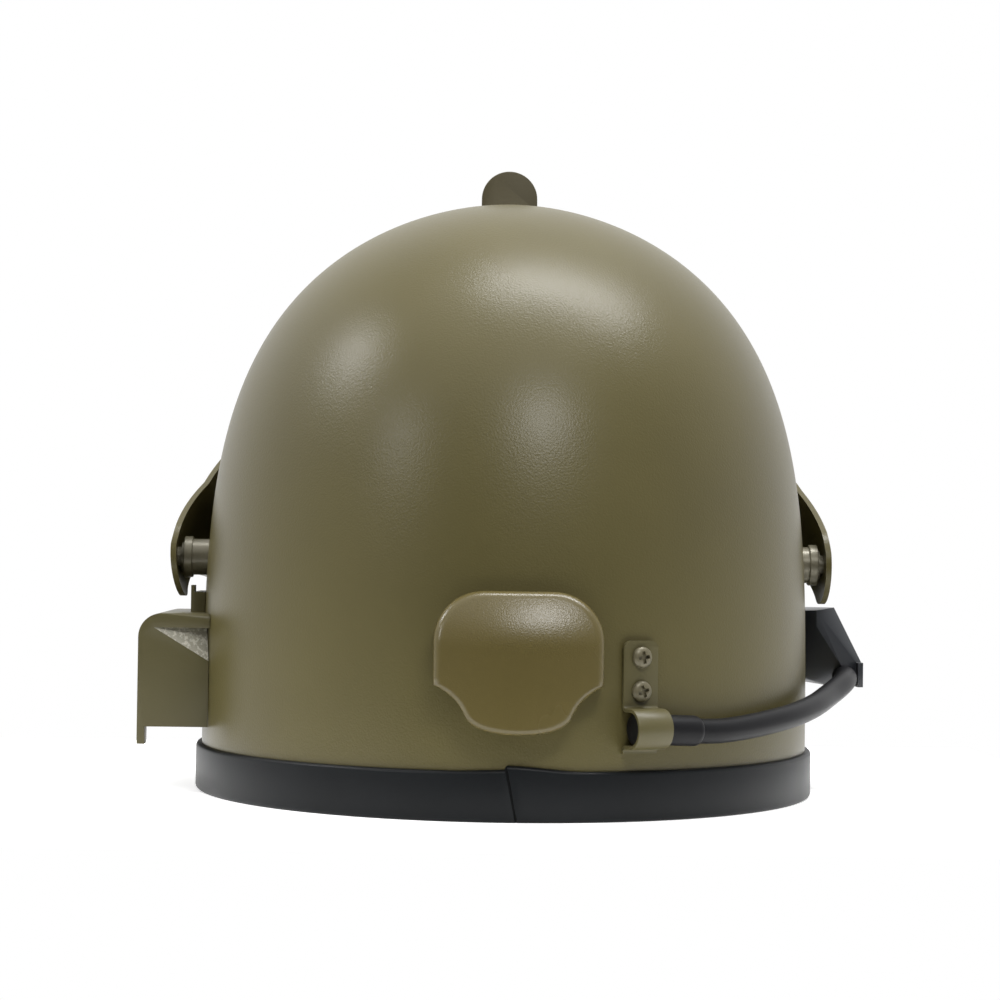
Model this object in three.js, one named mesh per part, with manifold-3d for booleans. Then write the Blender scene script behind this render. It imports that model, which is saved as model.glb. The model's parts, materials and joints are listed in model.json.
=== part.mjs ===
// Tactical helmet with a hinged face visor, shown with the visor down.
// Millimetres. +X is the wearer's right, +Y is forward, +Z is up. The origin is on the floor that the
// rim rests on, in the middle of the helmet's own box.

import * as THREE from 'three';
import { mergeVertices } from 'three/addons/utils/BufferGeometryUtils.js';
import { ConvexGeometry } from 'three/addons/geometries/ConvexGeometry.js';
import Module from 'manifold-3d';

const wasm = await Module();
wasm.setup();

// Shell: every level is the same ellipse, and its half width follows one crown formula.
const SHELL_HALF_WIDTH = 121.4;
const SHELL_HEIGHT = 235.8;
const SHELL_LENGTH_RATIO = 1.2;
const CROWN_FULLNESS = 4.15;
const CROWN_ROUNDNESS = 1.87;
const SHELL_WALL = 4;
const SHELL_EDGE_HEIGHT = 2.5;
const SHELL_CENTRE_X = -1.4;
const SHELL_CENTRE_Y = -0.35;
const SKIRT_BELOW_FLOOR = 12;
const SEAT_GAP = 0.3;

// Face opening, cut forward through the front of the shell.
const FACE_HALF_WIDTH = 72;
const FACE_TOP = 156;
const FACE_CORNER = 42;
const FACE_CUT_START = 30;

// Rubber edge trim, a channel that wraps the shell's whole edge and butts at the back.
const TRIM_HEIGHT = 18;
const TRIM_FACE_WIDTH = 12;
const TRIM_LIP = 2.3;
const TRIM_SEAM = 0.6;
const TRIM_SEAM_X = -2;
const TRIM_SEAM_LEAN = 12;

// Visor: a plate that follows the shell at a gap and swells outwards round its two pivots.
const VISOR_GAP = 6.6;
const VISOR_PLATE = 2.2;
const VISOR_BOTTOM = 14;
const VISOR_TOP = 178;
const PIVOT_HEIGHT = 91.6;
const PIVOT_HOLE_RADIUS = 4.3;
const EAR_RADIUS = 15.8;
const EAR_SWELL_RIGHT = 2.9;
const EAR_SWELL_LEFT = 6.4;
const EAR_SWELL_CENTRE = [-13, 96];
const EAR_SWELL_FORWARD = 60;
const EAR_SWELL_UP = 38;
const EAR_SWELL_DOWN = 24.4;

// Viewport in the visor: a window hole, a pane in the hole and a frame over its edge.
const WINDOW_HALF_WIDTH = 72;
const WINDOW_LOW = 98;
const WINDOW_HIGH = 146;
const WINDOW_CORNER = 8;
const FRAME_OVERHANG = 10;
const FRAME_LAP = 4;
const FRAME_THICKNESS = 3.9;
const PANE_THICKNESS = 3;

// Pivot stud: steps of a turned pin, as [radius, distance from the shell's middle plane]. The right
// one is shorter, as its ear swells less.
const STUD_STEPS = [[7.3, 116], [7.3, 126.4], [8.3, 126.4], [8.3, 129.9], [6, 129.9], [6, 130.8],
  [4, 130.8], [4, 134.8]];
const STUD_SHORTER_RIGHT = 2.9;

// Latch on the crown: a strip with a round thumb tab turned up at its back end.
const TAB_RADIUS = 11.4;
const TAB_CENTRE_HEIGHT = 240.2;
const TAB_Y = 8;
const TAB_PLATE = 2.2;
const LATCH_HALF_WIDTH = 9;
const LATCH_END_Y = 62;

// Cover on the back of the shell.
const COVER_HALF_WIDTH = 30;
const COVER_TOP = 81.5;
const COVER_SHOULDER = 48.5;
const COVER_BOTTOM = 31.3;
const COVER_CORNER = 17.5;
const COVER_X = 0;
const COVER_PROUD = 11;
const COVER_ROUNDING = 3.5;
const COVER_RIDGE = 64;
const COVER_ROOF_NORMAL = [0, 0.946, -0.324];

// Guard hood on the left side, open below.
const HOOD_REACH = 144.2;
const HOOD_TOP = 69.6;
const HOOD_PANEL_LOW = 25.4;
const HOOD_LOW = 18.6;
const HOOD_BACK = -41;
const HOOD_FRONT = 40;
const HOOD_WALL = 3;
const HOOD_TAB = 9;
const HOOD_CORNER = 9.2;
const HOOD_FLANGE_X = -125.6;
const HOOD_FLANGE_HEIGHT = 77.6;
const HOOD_LIP_HEIGHT = 80.4;
const HOOD_LIP = 1.4;

// Cable housing on the right side.
const HOUSING_REACH = 147;
const HOUSING_LEDGE = 52;
const HOUSING_LOW = 42;
const HOUSING_FRONT = 52;
const HOUSING_FIN = 2.2;

// Cable, from the housing round the back of the shell to the clip.
const CABLE_RADIUS = 4.5;
const SLEEVE_RADIUS = 5.5;
const CABLE_SIDES = 10;
const CABLE_STANDOFF = 6.2;
const CABLE_HEIGHT = 33.2;
const SLEEVE_END_SHARE = 0.148;

// Clip that holds the cable on the shell, and its two screws.
const CLIP_ANGLE = -69;
const CLIP_WIDTH = 14;
const CLIP_TOP = 64.4;
const CLIP_SHEET = 1.3;
const CLIP_LOOP_CLEARANCE = 0.4;
const SCREW_RADIUS = 3.8;
const SCREW_HEAD = 2.4;
const SCREW_HEIGHTS = [58.5, 46.4];
const SCREW_SLOT_LENGTH = 4.2;
const SCREW_SLOT_WIDTH = 1.1;
const SCREW_SLOT_DEPTH = 1.3;

// Finishes.
const OLIVE = { color: 0x6b6342, roughness: 0.42, metalness: 0.1 };
const DARK_OLIVE = { color: 0x585139, roughness: 0.45, metalness: 0.15 };
const STEEL = { color: 0x8d8c76, roughness: 0.4, metalness: 0.5 };
const RUBBER = { color: 0x26282b, roughness: 0.75, metalness: 0 };
const BLACK_PLASTIC = { color: 0x2a2b2e, roughness: 0.5, metalness: 0 };
const GLASS = { color: 0x4a5248, roughness: 0.08, metalness: 0 };

// Half width of the shell at a height.
function halfWidthAt(z) {
  const share = Math.max(z, 0) / SHELL_HEIGHT;
  return SHELL_HALF_WIDTH * (1 - share ** CROWN_FULLNESS) ** (1 / CROWN_ROUNDNESS);
}

// How fast that half width changes with height.
function halfWidthSlope(z) {
  const share = Math.max(z, 0) / SHELL_HEIGHT;
  const power = CROWN_FULLNESS / CROWN_ROUNDNESS;
  const rise = share ** (CROWN_FULLNESS - 1) / SHELL_HEIGHT;
  return -SHELL_HALF_WIDTH * power * rise * (1 - share ** CROWN_FULLNESS) ** (1 / CROWN_ROUNDNESS - 1);
}

// Outward direction of the shell at an angle round it and a height.
function shellNormal(angle, z) {
  const normal = new THREE.Vector3(Math.cos(angle), Math.sin(angle) / SHELL_LENGTH_RATIO, -halfWidthSlope(z));
  return normal.normalize();
}

// Point on the shell, pushed out along its normal.
function shellPoint(angle, z, offset) {
  const half = halfWidthAt(z);
  const point = new THREE.Vector3(half * Math.cos(angle), SHELL_LENGTH_RATIO * half * Math.sin(angle), z);
  return point.addScaledVector(shellNormal(angle, z), offset);
}

// Closed geometry to exact solid.
function solidOf(geometry) {
  const bare = geometry.clone();
  bare.deleteAttribute('normal');
  bare.deleteAttribute('uv');
  const merged = mergeVertices(bare, 1e-4);
  const corners = merged.index.array;
  const kept = [];
  for (let i = 0; i < corners.length; i += 3) {
    const [a, b, c] = [corners[i], corners[i + 1], corners[i + 2]];
    if (a !== b && b !== c && c !== a) kept.push(a, b, c);
  }
  const mesh = new wasm.Mesh({
    numProp: 3,
    vertProperties: merged.attributes.position.array,
    triVerts: new Uint32Array(kept),
  });
  return new wasm.Manifold(mesh);
}

// Exact solid to a named mesh with its own material.
function meshOf(name, solid, finish) {
  const { vertProperties, triVerts } = solid.getMesh();
  const geometry = new THREE.BufferGeometry();
  geometry.setAttribute('position', new THREE.BufferAttribute(new Float32Array(vertProperties), 3));
  geometry.setIndex(new THREE.BufferAttribute(new Uint32Array(triVerts), 1));
  geometry.computeVertexNormals();
  const mesh = new THREE.Mesh(geometry, new THREE.MeshStandardMaterial(finish));
  mesh.name = name;
  return mesh;
}

// Heights of the shell's rings: few on the upright wall, closer towards the crown.
const CROWN_RINGS = 14;
const SHELL_LEVELS = [-SKIRT_BELOW_FLOOR];
for (let i = 0; i <= CROWN_RINGS; i += 1) {
  const turn = (i / CROWN_RINGS) * (Math.PI / 2);
  SHELL_LEVELS.push(SHELL_HEIGHT * Math.sin(turn) ** (2 / CROWN_FULLNESS));
}
const SHELL_SEGMENTS = 44;

// Even heights for the visor, whose ears need close rings.
const VISOR_RINGS = 18;
const VISOR_SEGMENTS = 60;
const VISOR_LEVELS = [];
for (let i = 0; i <= VISOR_RINGS; i += 1) {
  VISOR_LEVELS.push(THREE.MathUtils.lerp(-SKIRT_BELOW_FLOOR, VISOR_TOP + 14, i / VISOR_RINGS));
}

// The filled dome under the shell's outer surface, grown by an offset that may vary over it.
function dome(offsetAt, levels = SHELL_LEVELS, segments = SHELL_SEGMENTS) {
  const profile = levels.map((z) => new THREE.Vector2(halfWidthAt(z), z));
  const top = levels[levels.length - 1];
  if (profile[profile.length - 1].x < 1) profile.pop();
  profile.unshift(new THREE.Vector2(0, levels[0]));
  profile.push(new THREE.Vector2(0, top));
  const geometry = new THREE.LatheGeometry(profile, segments);
  geometry.rotateX(Math.PI / 2);
  const position = geometry.attributes.position;
  const isCrown = top > SHELL_HEIGHT - 1;
  for (let i = 0; i < position.count; i += 1) {
    const [x, y, z] = [position.getX(i), position.getY(i), position.getZ(i)];
    if (Math.hypot(x, y) < 1e-6) {
      const lift = isCrown && z > 0 ? offsetAt(0, 0, z) : 0;
      position.setXYZ(i, 0, 0, z + lift);
    } else {
      const angle = Math.atan2(y, x);
      const onShell = shellPoint(angle, z, 0);
      const moved = shellPoint(angle, z, offsetAt(onShell.x, onShell.y, z));
      position.setXYZ(i, moved.x, moved.y, moved.z);
    }
  }
  return solidOf(geometry);
}

// A closed prism of a flat outline drawn on the X and Z axes, running back from startY.
function prismBack(shape, startY, depth, curveSegments = 8) {
  const geometry = new THREE.ExtrudeGeometry(shape, { depth, bevelEnabled: false, curveSegments });
  geometry.rotateX(Math.PI / 2);
  geometry.translate(0, startY, 0);
  return solidOf(geometry);
}

// A closed prism of an outline drawn on the Y and Z axes, running right through along X.
function prismAcross(shape, halfDepth, curveSegments = 8) {
  const depth = 2 * halfDepth;
  const geometry = new THREE.ExtrudeGeometry(shape, { depth, bevelEnabled: false, curveSegments });
  geometry.translate(0, 0, -halfDepth);
  const turn = new THREE.Matrix4().makeBasis(
    new THREE.Vector3(0, 1, 0),
    new THREE.Vector3(0, 0, 1),
    new THREE.Vector3(1, 0, 0),
  );
  geometry.applyMatrix4(turn);
  return solidOf(geometry);
}

// A block between two corners.
function block(low, high) {
  const size = high.map((value, i) => value - low[i]);
  const geometry = new THREE.BoxGeometry(...size);
  geometry.translate(low[0] + size[0] / 2, low[1] + size[1] / 2, low[2] + size[2] / 2);
  return solidOf(geometry);
}

// A turned solid about the X axis: steps of [radius, distance], pointing right or left.
function turnedAlongX(steps, side, y, z, segments = 20) {
  const profile = steps.map(([radius, along]) => new THREE.Vector2(radius, along));
  profile.unshift(new THREE.Vector2(0, steps[0][1]));
  profile.push(new THREE.Vector2(0, steps[steps.length - 1][1]));
  const geometry = new THREE.LatheGeometry(profile, segments);
  geometry.rotateZ((-side * Math.PI) / 2);
  geometry.translate(0, y, z);
  return solidOf(geometry);
}

function roundedRectangle(halfWidth, low, high, corner) {
  const shape = new THREE.Shape();
  shape.moveTo(-halfWidth + corner, low);
  shape.lineTo(halfWidth - corner, low);
  shape.absarc(halfWidth - corner, low + corner, corner, -Math.PI / 2, 0);
  shape.absarc(halfWidth - corner, high - corner, corner, 0, Math.PI / 2);
  shape.absarc(-halfWidth + corner, high - corner, corner, Math.PI / 2, Math.PI);
  shape.absarc(-halfWidth + corner, low + corner, corner, Math.PI, 1.5 * Math.PI);
  return shape;
}

// The face opening's prism, grown or shrunk all round.
function facePrism(grow) {
  const low = -SKIRT_BELOW_FLOOR;
  const shape = new THREE.Shape();
  const half = FACE_HALF_WIDTH + grow;
  const centre = FACE_TOP - FACE_CORNER;
  const corner = FACE_CORNER + grow;
  shape.moveTo(-half, low);
  shape.lineTo(half, low);
  shape.absarc(half - corner, centre, corner, 0, Math.PI / 2);
  shape.absarc(-half + corner, centre, corner, Math.PI / 2, Math.PI);
  return prismBack(shape, SHELL_HALF_WIDTH * 2, SHELL_HALF_WIDTH * 2 - FACE_CUT_START);
}

const seat = dome(() => SEAT_GAP);

function makeShell() {
  return dome(() => 0)
    .subtract(dome(() => -SHELL_WALL))
    .trimByPlane([0, 0, 1], SHELL_EDGE_HEIGHT)
    .subtract(facePrism(0));
}

function makeTrim() {
  const clearance = dome(() => SEAT_GAP)
    .subtract(dome(() => -SHELL_WALL - SEAT_GAP))
    .trimByPlane([0, 0, 1], SHELL_EDGE_HEIGHT - SEAT_GAP)
    .subtract(facePrism(-SEAT_GAP));
  const reach = 2 * SHELL_HALF_WIDTH;
  const border = block([-reach, -reach, 0], [reach, reach, TRIM_HEIGHT]).add(facePrism(TRIM_FACE_WIDTH));
  const seam = block([-TRIM_SEAM / 2, -reach, -reach], [TRIM_SEAM / 2, -FACE_CUT_START, reach])
    .rotate([0, -TRIM_SEAM_LEAN, 0])
    .translate([TRIM_SEAM_X, 0, TRIM_HEIGHT / 2]);
  return dome(() => TRIM_LIP)
    .subtract(dome(() => -SHELL_WALL - TRIM_LIP))
    .trimByPlane([0, 0, 1], 0)
    .intersect(border)
    .subtract(facePrism(-TRIM_LIP))
    .subtract(clearance)
    .subtract(seam);
}

// Gap between the shell and the visor's inner face. It swells at the ears, more on the left, and
// shrinks evenly up the arms.
function visorGap(x, y, z) {
  const swell = x > 0 ? EAR_SWELL_RIGHT : EAR_SWELL_LEFT;
  const forward = (y - EAR_SWELL_CENTRE[0]) / EAR_SWELL_FORWARD;
  const rise = z - EAR_SWELL_CENTRE[1];
  const height = rise > 0 ? rise / EAR_SWELL_UP : (rise / EAR_SWELL_DOWN) ** 2;
  return VISOR_GAP + swell * Math.max(0, 1 - forward * forward - height);
}

// The visor seen from its side: a round ear, a sloping arm and a tall front.
function visorSideShape() {
  const front = 2 * SHELL_HALF_WIDTH;
  const shape = new THREE.Shape();
  shape.moveTo(front, VISOR_BOTTOM);
  shape.lineTo(front, VISOR_TOP);
  shape.lineTo(118, 172);
  shape.lineTo(85, 158);
  shape.lineTo(44, 133.5);
  shape.absarc(0, PIVOT_HEIGHT, EAR_RADIUS, Math.PI * 0.658, Math.PI * 1.68);
  shape.lineTo(24, 85.5);
  shape.lineTo(50, 82);
  shape.lineTo(68, 68);
  shape.lineTo(82, 28);
  shape.lineTo(96, VISOR_BOTTOM);
  return shape;
}

function windowPrism(grow) {
  const shape = roundedRectangle(
    WINDOW_HALF_WIDTH + grow,
    WINDOW_LOW - grow,
    WINDOW_HIGH + grow,
    Math.max(WINDOW_CORNER + grow, 2),
  );
  return prismBack(shape, 2 * SHELL_HALF_WIDTH, 2 * SHELL_HALF_WIDTH - 60, 4);
}

function makeVisor() {
  const outer = dome((x, y, z) => visorGap(x, y, z) + VISOR_PLATE, VISOR_LEVELS, VISOR_SEGMENTS);
  const inner = dome(visorGap, VISOR_LEVELS, VISOR_SEGMENTS);
  const holes = turnedAlongX([[PIVOT_HOLE_RADIUS, -160], [PIVOT_HOLE_RADIUS, 160]], 1, 0, PIVOT_HEIGHT);
  return outer
    .subtract(inner)
    .intersect(prismAcross(visorSideShape(), 2 * SHELL_HALF_WIDTH, 20))
    .subtract(windowPrism(0))
    .subtract(holes);
}

// A part of a shell between two offsets, cut to a prism.
function band(low, high, prism) {
  return dome(() => high, VISOR_LEVELS, VISOR_SEGMENTS)
    .subtract(dome(() => low, VISOR_LEVELS, VISOR_SEGMENTS))
    .intersect(prism);
}

function makeWindowFrame() {
  const low = VISOR_GAP + VISOR_PLATE + SEAT_GAP;
  return band(low, low + FRAME_THICKNESS, windowPrism(FRAME_OVERHANG)).subtract(windowPrism(-FRAME_LAP));
}

function makePane() {
  const high = VISOR_GAP + VISOR_PLATE;
  return band(high - PANE_THICKNESS, high, windowPrism(-SEAT_GAP));
}

function makeStud(side) {
  const shorter = side > 0 ? STUD_SHORTER_RIGHT : 0;
  const steps = STUD_STEPS.map(([radius, along], i) => [radius, i === 0 ? along : along - shorter]);
  return turnedAlongX(steps, side, 0, PIVOT_HEIGHT).subtract(seat);
}

function makeLatch() {
  const footLow = SHELL_HEIGHT - 40;
  const foot = dome(() => SEAT_GAP + 2)
    .intersect(block([-LATCH_HALF_WIDTH, TAB_Y, footLow], [LATCH_HALF_WIDTH, LATCH_END_Y, SHELL_HEIGHT + 5]));
  const tabShape = new THREE.Shape();
  tabShape.moveTo(-TAB_RADIUS, SHELL_HEIGHT - 4);
  tabShape.lineTo(TAB_RADIUS, SHELL_HEIGHT - 4);
  tabShape.absarc(0, TAB_CENTRE_HEIGHT, TAB_RADIUS, 0, Math.PI);
  const tab = prismBack(tabShape, TAB_Y + TAB_PLATE, TAB_PLATE, 16);
  return foot.add(tab).subtract(seat);
}

// The back cover's outline: square shoulders above, a round lobe below.
function coverShape() {
  const half = COVER_HALF_WIDTH;
  const shape = new THREE.Shape();
  shape.moveTo(0, COVER_BOTTOM);
  shape.bezierCurveTo(9, COVER_BOTTOM, 16, 33, 18.5, 37);
  shape.bezierCurveTo(20.5, 41, 22, 44.5, half, COVER_SHOULDER);
  shape.absarc(half - COVER_CORNER, COVER_TOP - COVER_CORNER, COVER_CORNER, 0, Math.PI / 2);
  shape.absarc(COVER_CORNER - half, COVER_TOP - COVER_CORNER, COVER_CORNER, Math.PI / 2, Math.PI);
  shape.lineTo(-half, COVER_SHOULDER);
  shape.bezierCurveTo(-22, 44.5, -20.5, 41, -18.5, 37);
  shape.bezierCurveTo(-16, 33, -9, COVER_BOTTOM, 0, COVER_BOTTOM);
  return shape;
}

function makeCover() {
  const back = SHELL_LENGTH_RATIO * SHELL_HALF_WIDTH;
  const depth = 22;
  const geometry = new THREE.ExtrudeGeometry(coverShape(), {
    depth,
    bevelThickness: COVER_ROUNDING,
    bevelSize: COVER_ROUNDING,
    bevelOffset: -COVER_ROUNDING,
    bevelSegments: 3,
    curveSegments: 6,
  });
  geometry.rotateX(Math.PI / 2);
  geometry.translate(COVER_X, depth + COVER_ROUNDING - back - COVER_PROUD, 0);
  const ridge = COVER_ROOF_NORMAL[1] * (-back - COVER_PROUD) + COVER_ROOF_NORMAL[2] * COVER_RIDGE;
  return solidOf(geometry).trimByPlane(COVER_ROOF_NORMAL, ridge).subtract(seat);
}

// The hood's section across its length, as an arch with one round corner, shrunk by a wall.
function hoodPrism(inset, back, front, low) {
  const reach = -HOOD_REACH + inset;
  const top = HOOD_TOP - inset;
  const corner = HOOD_CORNER - inset;
  const shape = new THREE.Shape();
  shape.moveTo(-100, low);
  shape.lineTo(-100, top);
  shape.lineTo(reach + corner, top);
  shape.absarc(reach + corner, top - corner, corner, Math.PI / 2, Math.PI);
  shape.lineTo(reach, low);
  return prismBack(shape, front, front - back, 6);
}

// The plane that takes a corner off the hood's back, next to the shell, below the bend at its top.
const HOOD_FACET_NORMAL = [-0.278, 0.842, -0.461];
const HOOD_FACET_POINT = [-114, -41, 49.5];
const HOOD_FACET_TOP = 64;
function facetOffset(inset) {
  const along = HOOD_FACET_NORMAL.reduce((sum, value, i) => sum + value * HOOD_FACET_POINT[i], 0);
  return along + inset;
}

function makeHood() {
  const recess = block([-160, HOOD_BACK - 5, 0], [-100, 0, HOOD_FACET_TOP])
    .trimByPlane(HOOD_FACET_NORMAL.map((value) => -value), -facetOffset(0));
  const outer = hoodPrism(0, HOOD_BACK, HOOD_FRONT, HOOD_LOW).subtract(recess);
  const inner = hoodPrism(HOOD_WALL, HOOD_BACK + HOOD_WALL, HOOD_FRONT - HOOD_WALL, HOOD_LOW - 5)
    .trimByPlane(HOOD_FACET_NORMAL, facetOffset(HOOD_WALL));
  const belowPanels = block(
    [-HOOD_REACH + HOOD_WALL, HOOD_BACK - 1, HOOD_LOW - 5],
    [-100, HOOD_FRONT + 1, HOOD_PANEL_LOW],
  );
  const besideTab = block(
    [-HOOD_REACH - 1, HOOD_BACK + HOOD_TAB, HOOD_LOW - 5],
    [-100, HOOD_FRONT + 1, HOOD_PANEL_LOW],
  );
  const flange = block([HOOD_FLANGE_X, -20, HOOD_TOP - 1], [-110, 30, HOOD_FLANGE_HEIGHT])
    .add(block([HOOD_FLANGE_X, -20, HOOD_TOP - 1], [HOOD_FLANGE_X + HOOD_LIP, -12, HOOD_LIP_HEIGHT]));
  return outer.subtract(inner).subtract(belowPanels).subtract(besideTab).add(flange).subtract(seat);
}

// The housing's corners, as [x, y, z]: a ridge at the back, two facets beside it, and the front end.
const HOUSING_CORNERS = [
  [127.4, 0, 73.2], [127.4, 0, 66.7], [137.6, 0, 51],
  [135.5, 6, 74.4], [HOUSING_REACH, 6, HOUSING_LEDGE], [HOUSING_REACH, 9, HOUSING_LOW],
  [135, 12, HOUSING_LOW], [116, 16, 72.2], [117, 20, 47],
  [108, HOUSING_FRONT, 71.6], [131, HOUSING_FRONT, 73.6], [142, HOUSING_FRONT, 55],
  [142, HOUSING_FRONT, HOUSING_LOW], [108, HOUSING_FRONT, 45],
];

function makeHousing(socket) {
  const corners = HOUSING_CORNERS.map(([x, y, z]) => new THREE.Vector3(x, y, z));
  const fin = block([HOUSING_REACH - HOUSING_FIN, 1, HOUSING_LOW], [HOUSING_REACH, 12, HOUSING_LEDGE]);
  return solidOf(new ConvexGeometry(corners)).add(fin).subtract(socket).subtract(seat);
}

// The cable's way, from its free end in the clip to the housing: places on the shell, then off it.
const degrees = THREE.MathUtils.degToRad;
const CABLE_ON_SHELL = [
  { angle: CLIP_ANGLE - 2.4, height: CABLE_HEIGHT, standoff: CABLE_STANDOFF },
  { angle: CLIP_ANGLE, height: CABLE_HEIGHT, standoff: CABLE_STANDOFF },
  { angle: CLIP_ANGLE + 6, height: 32.5, standoff: CABLE_STANDOFF },
  { angle: -54.4, height: 31.8, standoff: CABLE_STANDOFF },
  { angle: -38.7, height: 34.5, standoff: 6.4 },
  { angle: -27, height: 37.2, standoff: 7.2 },
];
const CABLE_OFF_SHELL = [[126.8, -38, 40.6], [136, -16, 44.4], [139.2, -3, 46], [139.2, 8, 46.4]];
const cableRoute = new THREE.CatmullRomCurve3([
  ...CABLE_ON_SHELL.map(({ angle, height, standoff }) => shellPoint(degrees(angle), height, standoff)),
  ...CABLE_OFF_SHELL.map(([x, y, z]) => new THREE.Vector3(x, y, z)),
], false, 'centripetal');

// A round bar along a share of the cable's way.
function barAlongRoute(from, to, radius, steps) {
  const points = [];
  for (let i = 0; i <= steps; i += 1) {
    points.push(cableRoute.getPointAt(THREE.MathUtils.lerp(from, to, i / steps)));
  }
  const section = new THREE.Shape();
  section.absarc(0, 0, radius, 0, 2 * Math.PI);
  const geometry = new THREE.ExtrudeGeometry(section, {
    steps,
    curveSegments: CABLE_SIDES / 2,
    bevelEnabled: false,
    extrudePath: new THREE.CatmullRomCurve3(points),
  });
  return solidOf(geometry);
}

// Turns a piece built at the back, facing -Y, to sit on the shell at the clip.
function onShellAtClip(solid) {
  const foot = shellPoint(degrees(CLIP_ANGLE), 0, 0);
  const normal = shellNormal(degrees(CLIP_ANGLE), 0);
  const turn = THREE.MathUtils.radToDeg(Math.atan2(normal.x, -normal.y));
  return solid.rotate([0, 0, turn]).translate([foot.x, foot.y, 0]);
}

// The clip's section: a flat foot, a half loop round the cable and a short lower foot.
function makeClip() {
  const innerRadius = SLEEVE_RADIUS + CLIP_LOOP_CLEARANCE;
  const outerRadius = innerRadius + CLIP_SHEET;
  const centre = -CABLE_STANDOFF;
  const sheet = -CLIP_SHEET - SEAT_GAP;
  const lowerFoot = CABLE_HEIGHT - outerRadius - 0.8;
  const shape = new THREE.Shape();
  shape.moveTo(3, CLIP_TOP);
  shape.lineTo(sheet, CLIP_TOP);
  shape.lineTo(sheet, CABLE_HEIGHT + outerRadius);
  shape.absarc(centre, CABLE_HEIGHT, outerRadius, Math.PI / 2, 1.5 * Math.PI);
  shape.lineTo(sheet, CABLE_HEIGHT - outerRadius);
  shape.lineTo(sheet, lowerFoot);
  shape.lineTo(3, lowerFoot);
  const passage = new THREE.Shape();
  passage.moveTo(3, CABLE_HEIGHT + innerRadius);
  passage.lineTo(centre, CABLE_HEIGHT + innerRadius);
  passage.absarc(centre, CABLE_HEIGHT, innerRadius, Math.PI / 2, 1.5 * Math.PI);
  passage.lineTo(3, CABLE_HEIGHT - innerRadius);
  const solid = prismAcross(shape, CLIP_WIDTH / 2).subtract(prismAcross(passage, CLIP_WIDTH));
  return onShellAtClip(solid).subtract(seat);
}

function makeScrew(height) {
  const profile = [[0, 0], [SCREW_RADIUS, 0], [SCREW_RADIUS, 0.9], [2.9, 2], [0, SCREW_HEAD]];
  const geometry = new THREE.LatheGeometry(profile.map(([r, up]) => new THREE.Vector2(r, up)), 18);
  geometry.rotateX(Math.PI);
  const head = solidOf(geometry);
  const low = -SCREW_HEAD - 1;
  const floor = SCREW_SLOT_DEPTH - SCREW_HEAD;
  const slot = block([-SCREW_SLOT_LENGTH / 2, low, -SCREW_SLOT_WIDTH / 2], [SCREW_SLOT_LENGTH / 2, floor,
    SCREW_SLOT_WIDTH / 2]);
  const cross = head.subtract(slot).subtract(slot.rotate([0, 90, 0]));
  const proud = CLIP_SHEET + 2 * SEAT_GAP + 0.3;
  return onShellAtClip(cross.translate([0, -proud, height]));
}

const helmet = new THREE.Group();
helmet.position.set(SHELL_CENTRE_X, SHELL_CENTRE_Y, 0);

const socket = barAlongRoute(0.8, 1, CABLE_RADIUS + 0.4, 8);
helmet.add(meshOf('shell', makeShell(), OLIVE));
helmet.add(meshOf('edge_trim', makeTrim(), RUBBER));
helmet.add(meshOf('back_cover', makeCover(), OLIVE));
helmet.add(meshOf('side_guard', makeHood(), OLIVE));
helmet.add(meshOf('cable_housing', makeHousing(socket), BLACK_PLASTIC));
helmet.add(meshOf('cable', barAlongRoute(SLEEVE_END_SHARE, 0.985, CABLE_RADIUS, 26), BLACK_PLASTIC));
helmet.add(meshOf('cable_sleeve', barAlongRoute(0, SLEEVE_END_SHARE - 0.0018, SLEEVE_RADIUS, 7), BLACK_PLASTIC));
helmet.add(meshOf('cable_clip', makeClip(), OLIVE));
SCREW_HEIGHTS.forEach((height, i) => {
  helmet.add(meshOf(`clip_screw_${i + 1}`, makeScrew(height), STEEL));
});
helmet.add(meshOf('crown_latch', makeLatch(), DARK_OLIVE));
helmet.add(meshOf('pivot_stud_right', makeStud(1), STEEL));
helmet.add(meshOf('pivot_stud_left', makeStud(-1), STEEL));

const visor = new THREE.Group();
visor.add(meshOf('visor_plate', makeVisor(), OLIVE));
visor.add(meshOf('window_frame', makeWindowFrame(), DARK_OLIVE));
visor.add(meshOf('window_pane', makePane(), GLASS));
helmet.add(visor);

export default helmet;
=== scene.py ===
# %% [markdown]
# # A metal helmet with a hinged visor
#
# The real thing is a hard domed shell with a rubber edge, a steel visor on two studs, and a few
# fittings: a cover low on the back, a bent sheet guard on the wearer's left, and on the right a
# plastic housing with a cable that runs round the back into a clip. The wearer's front is +Y and
# the camera looks from behind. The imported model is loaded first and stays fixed: every piece here
# is fitted to it.

# %% Load the frame
import json
import math
import bmesh
import bpy
from mathutils import Matrix, Vector, geometry
from mathutils.bvhtree import BVHTree


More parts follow.
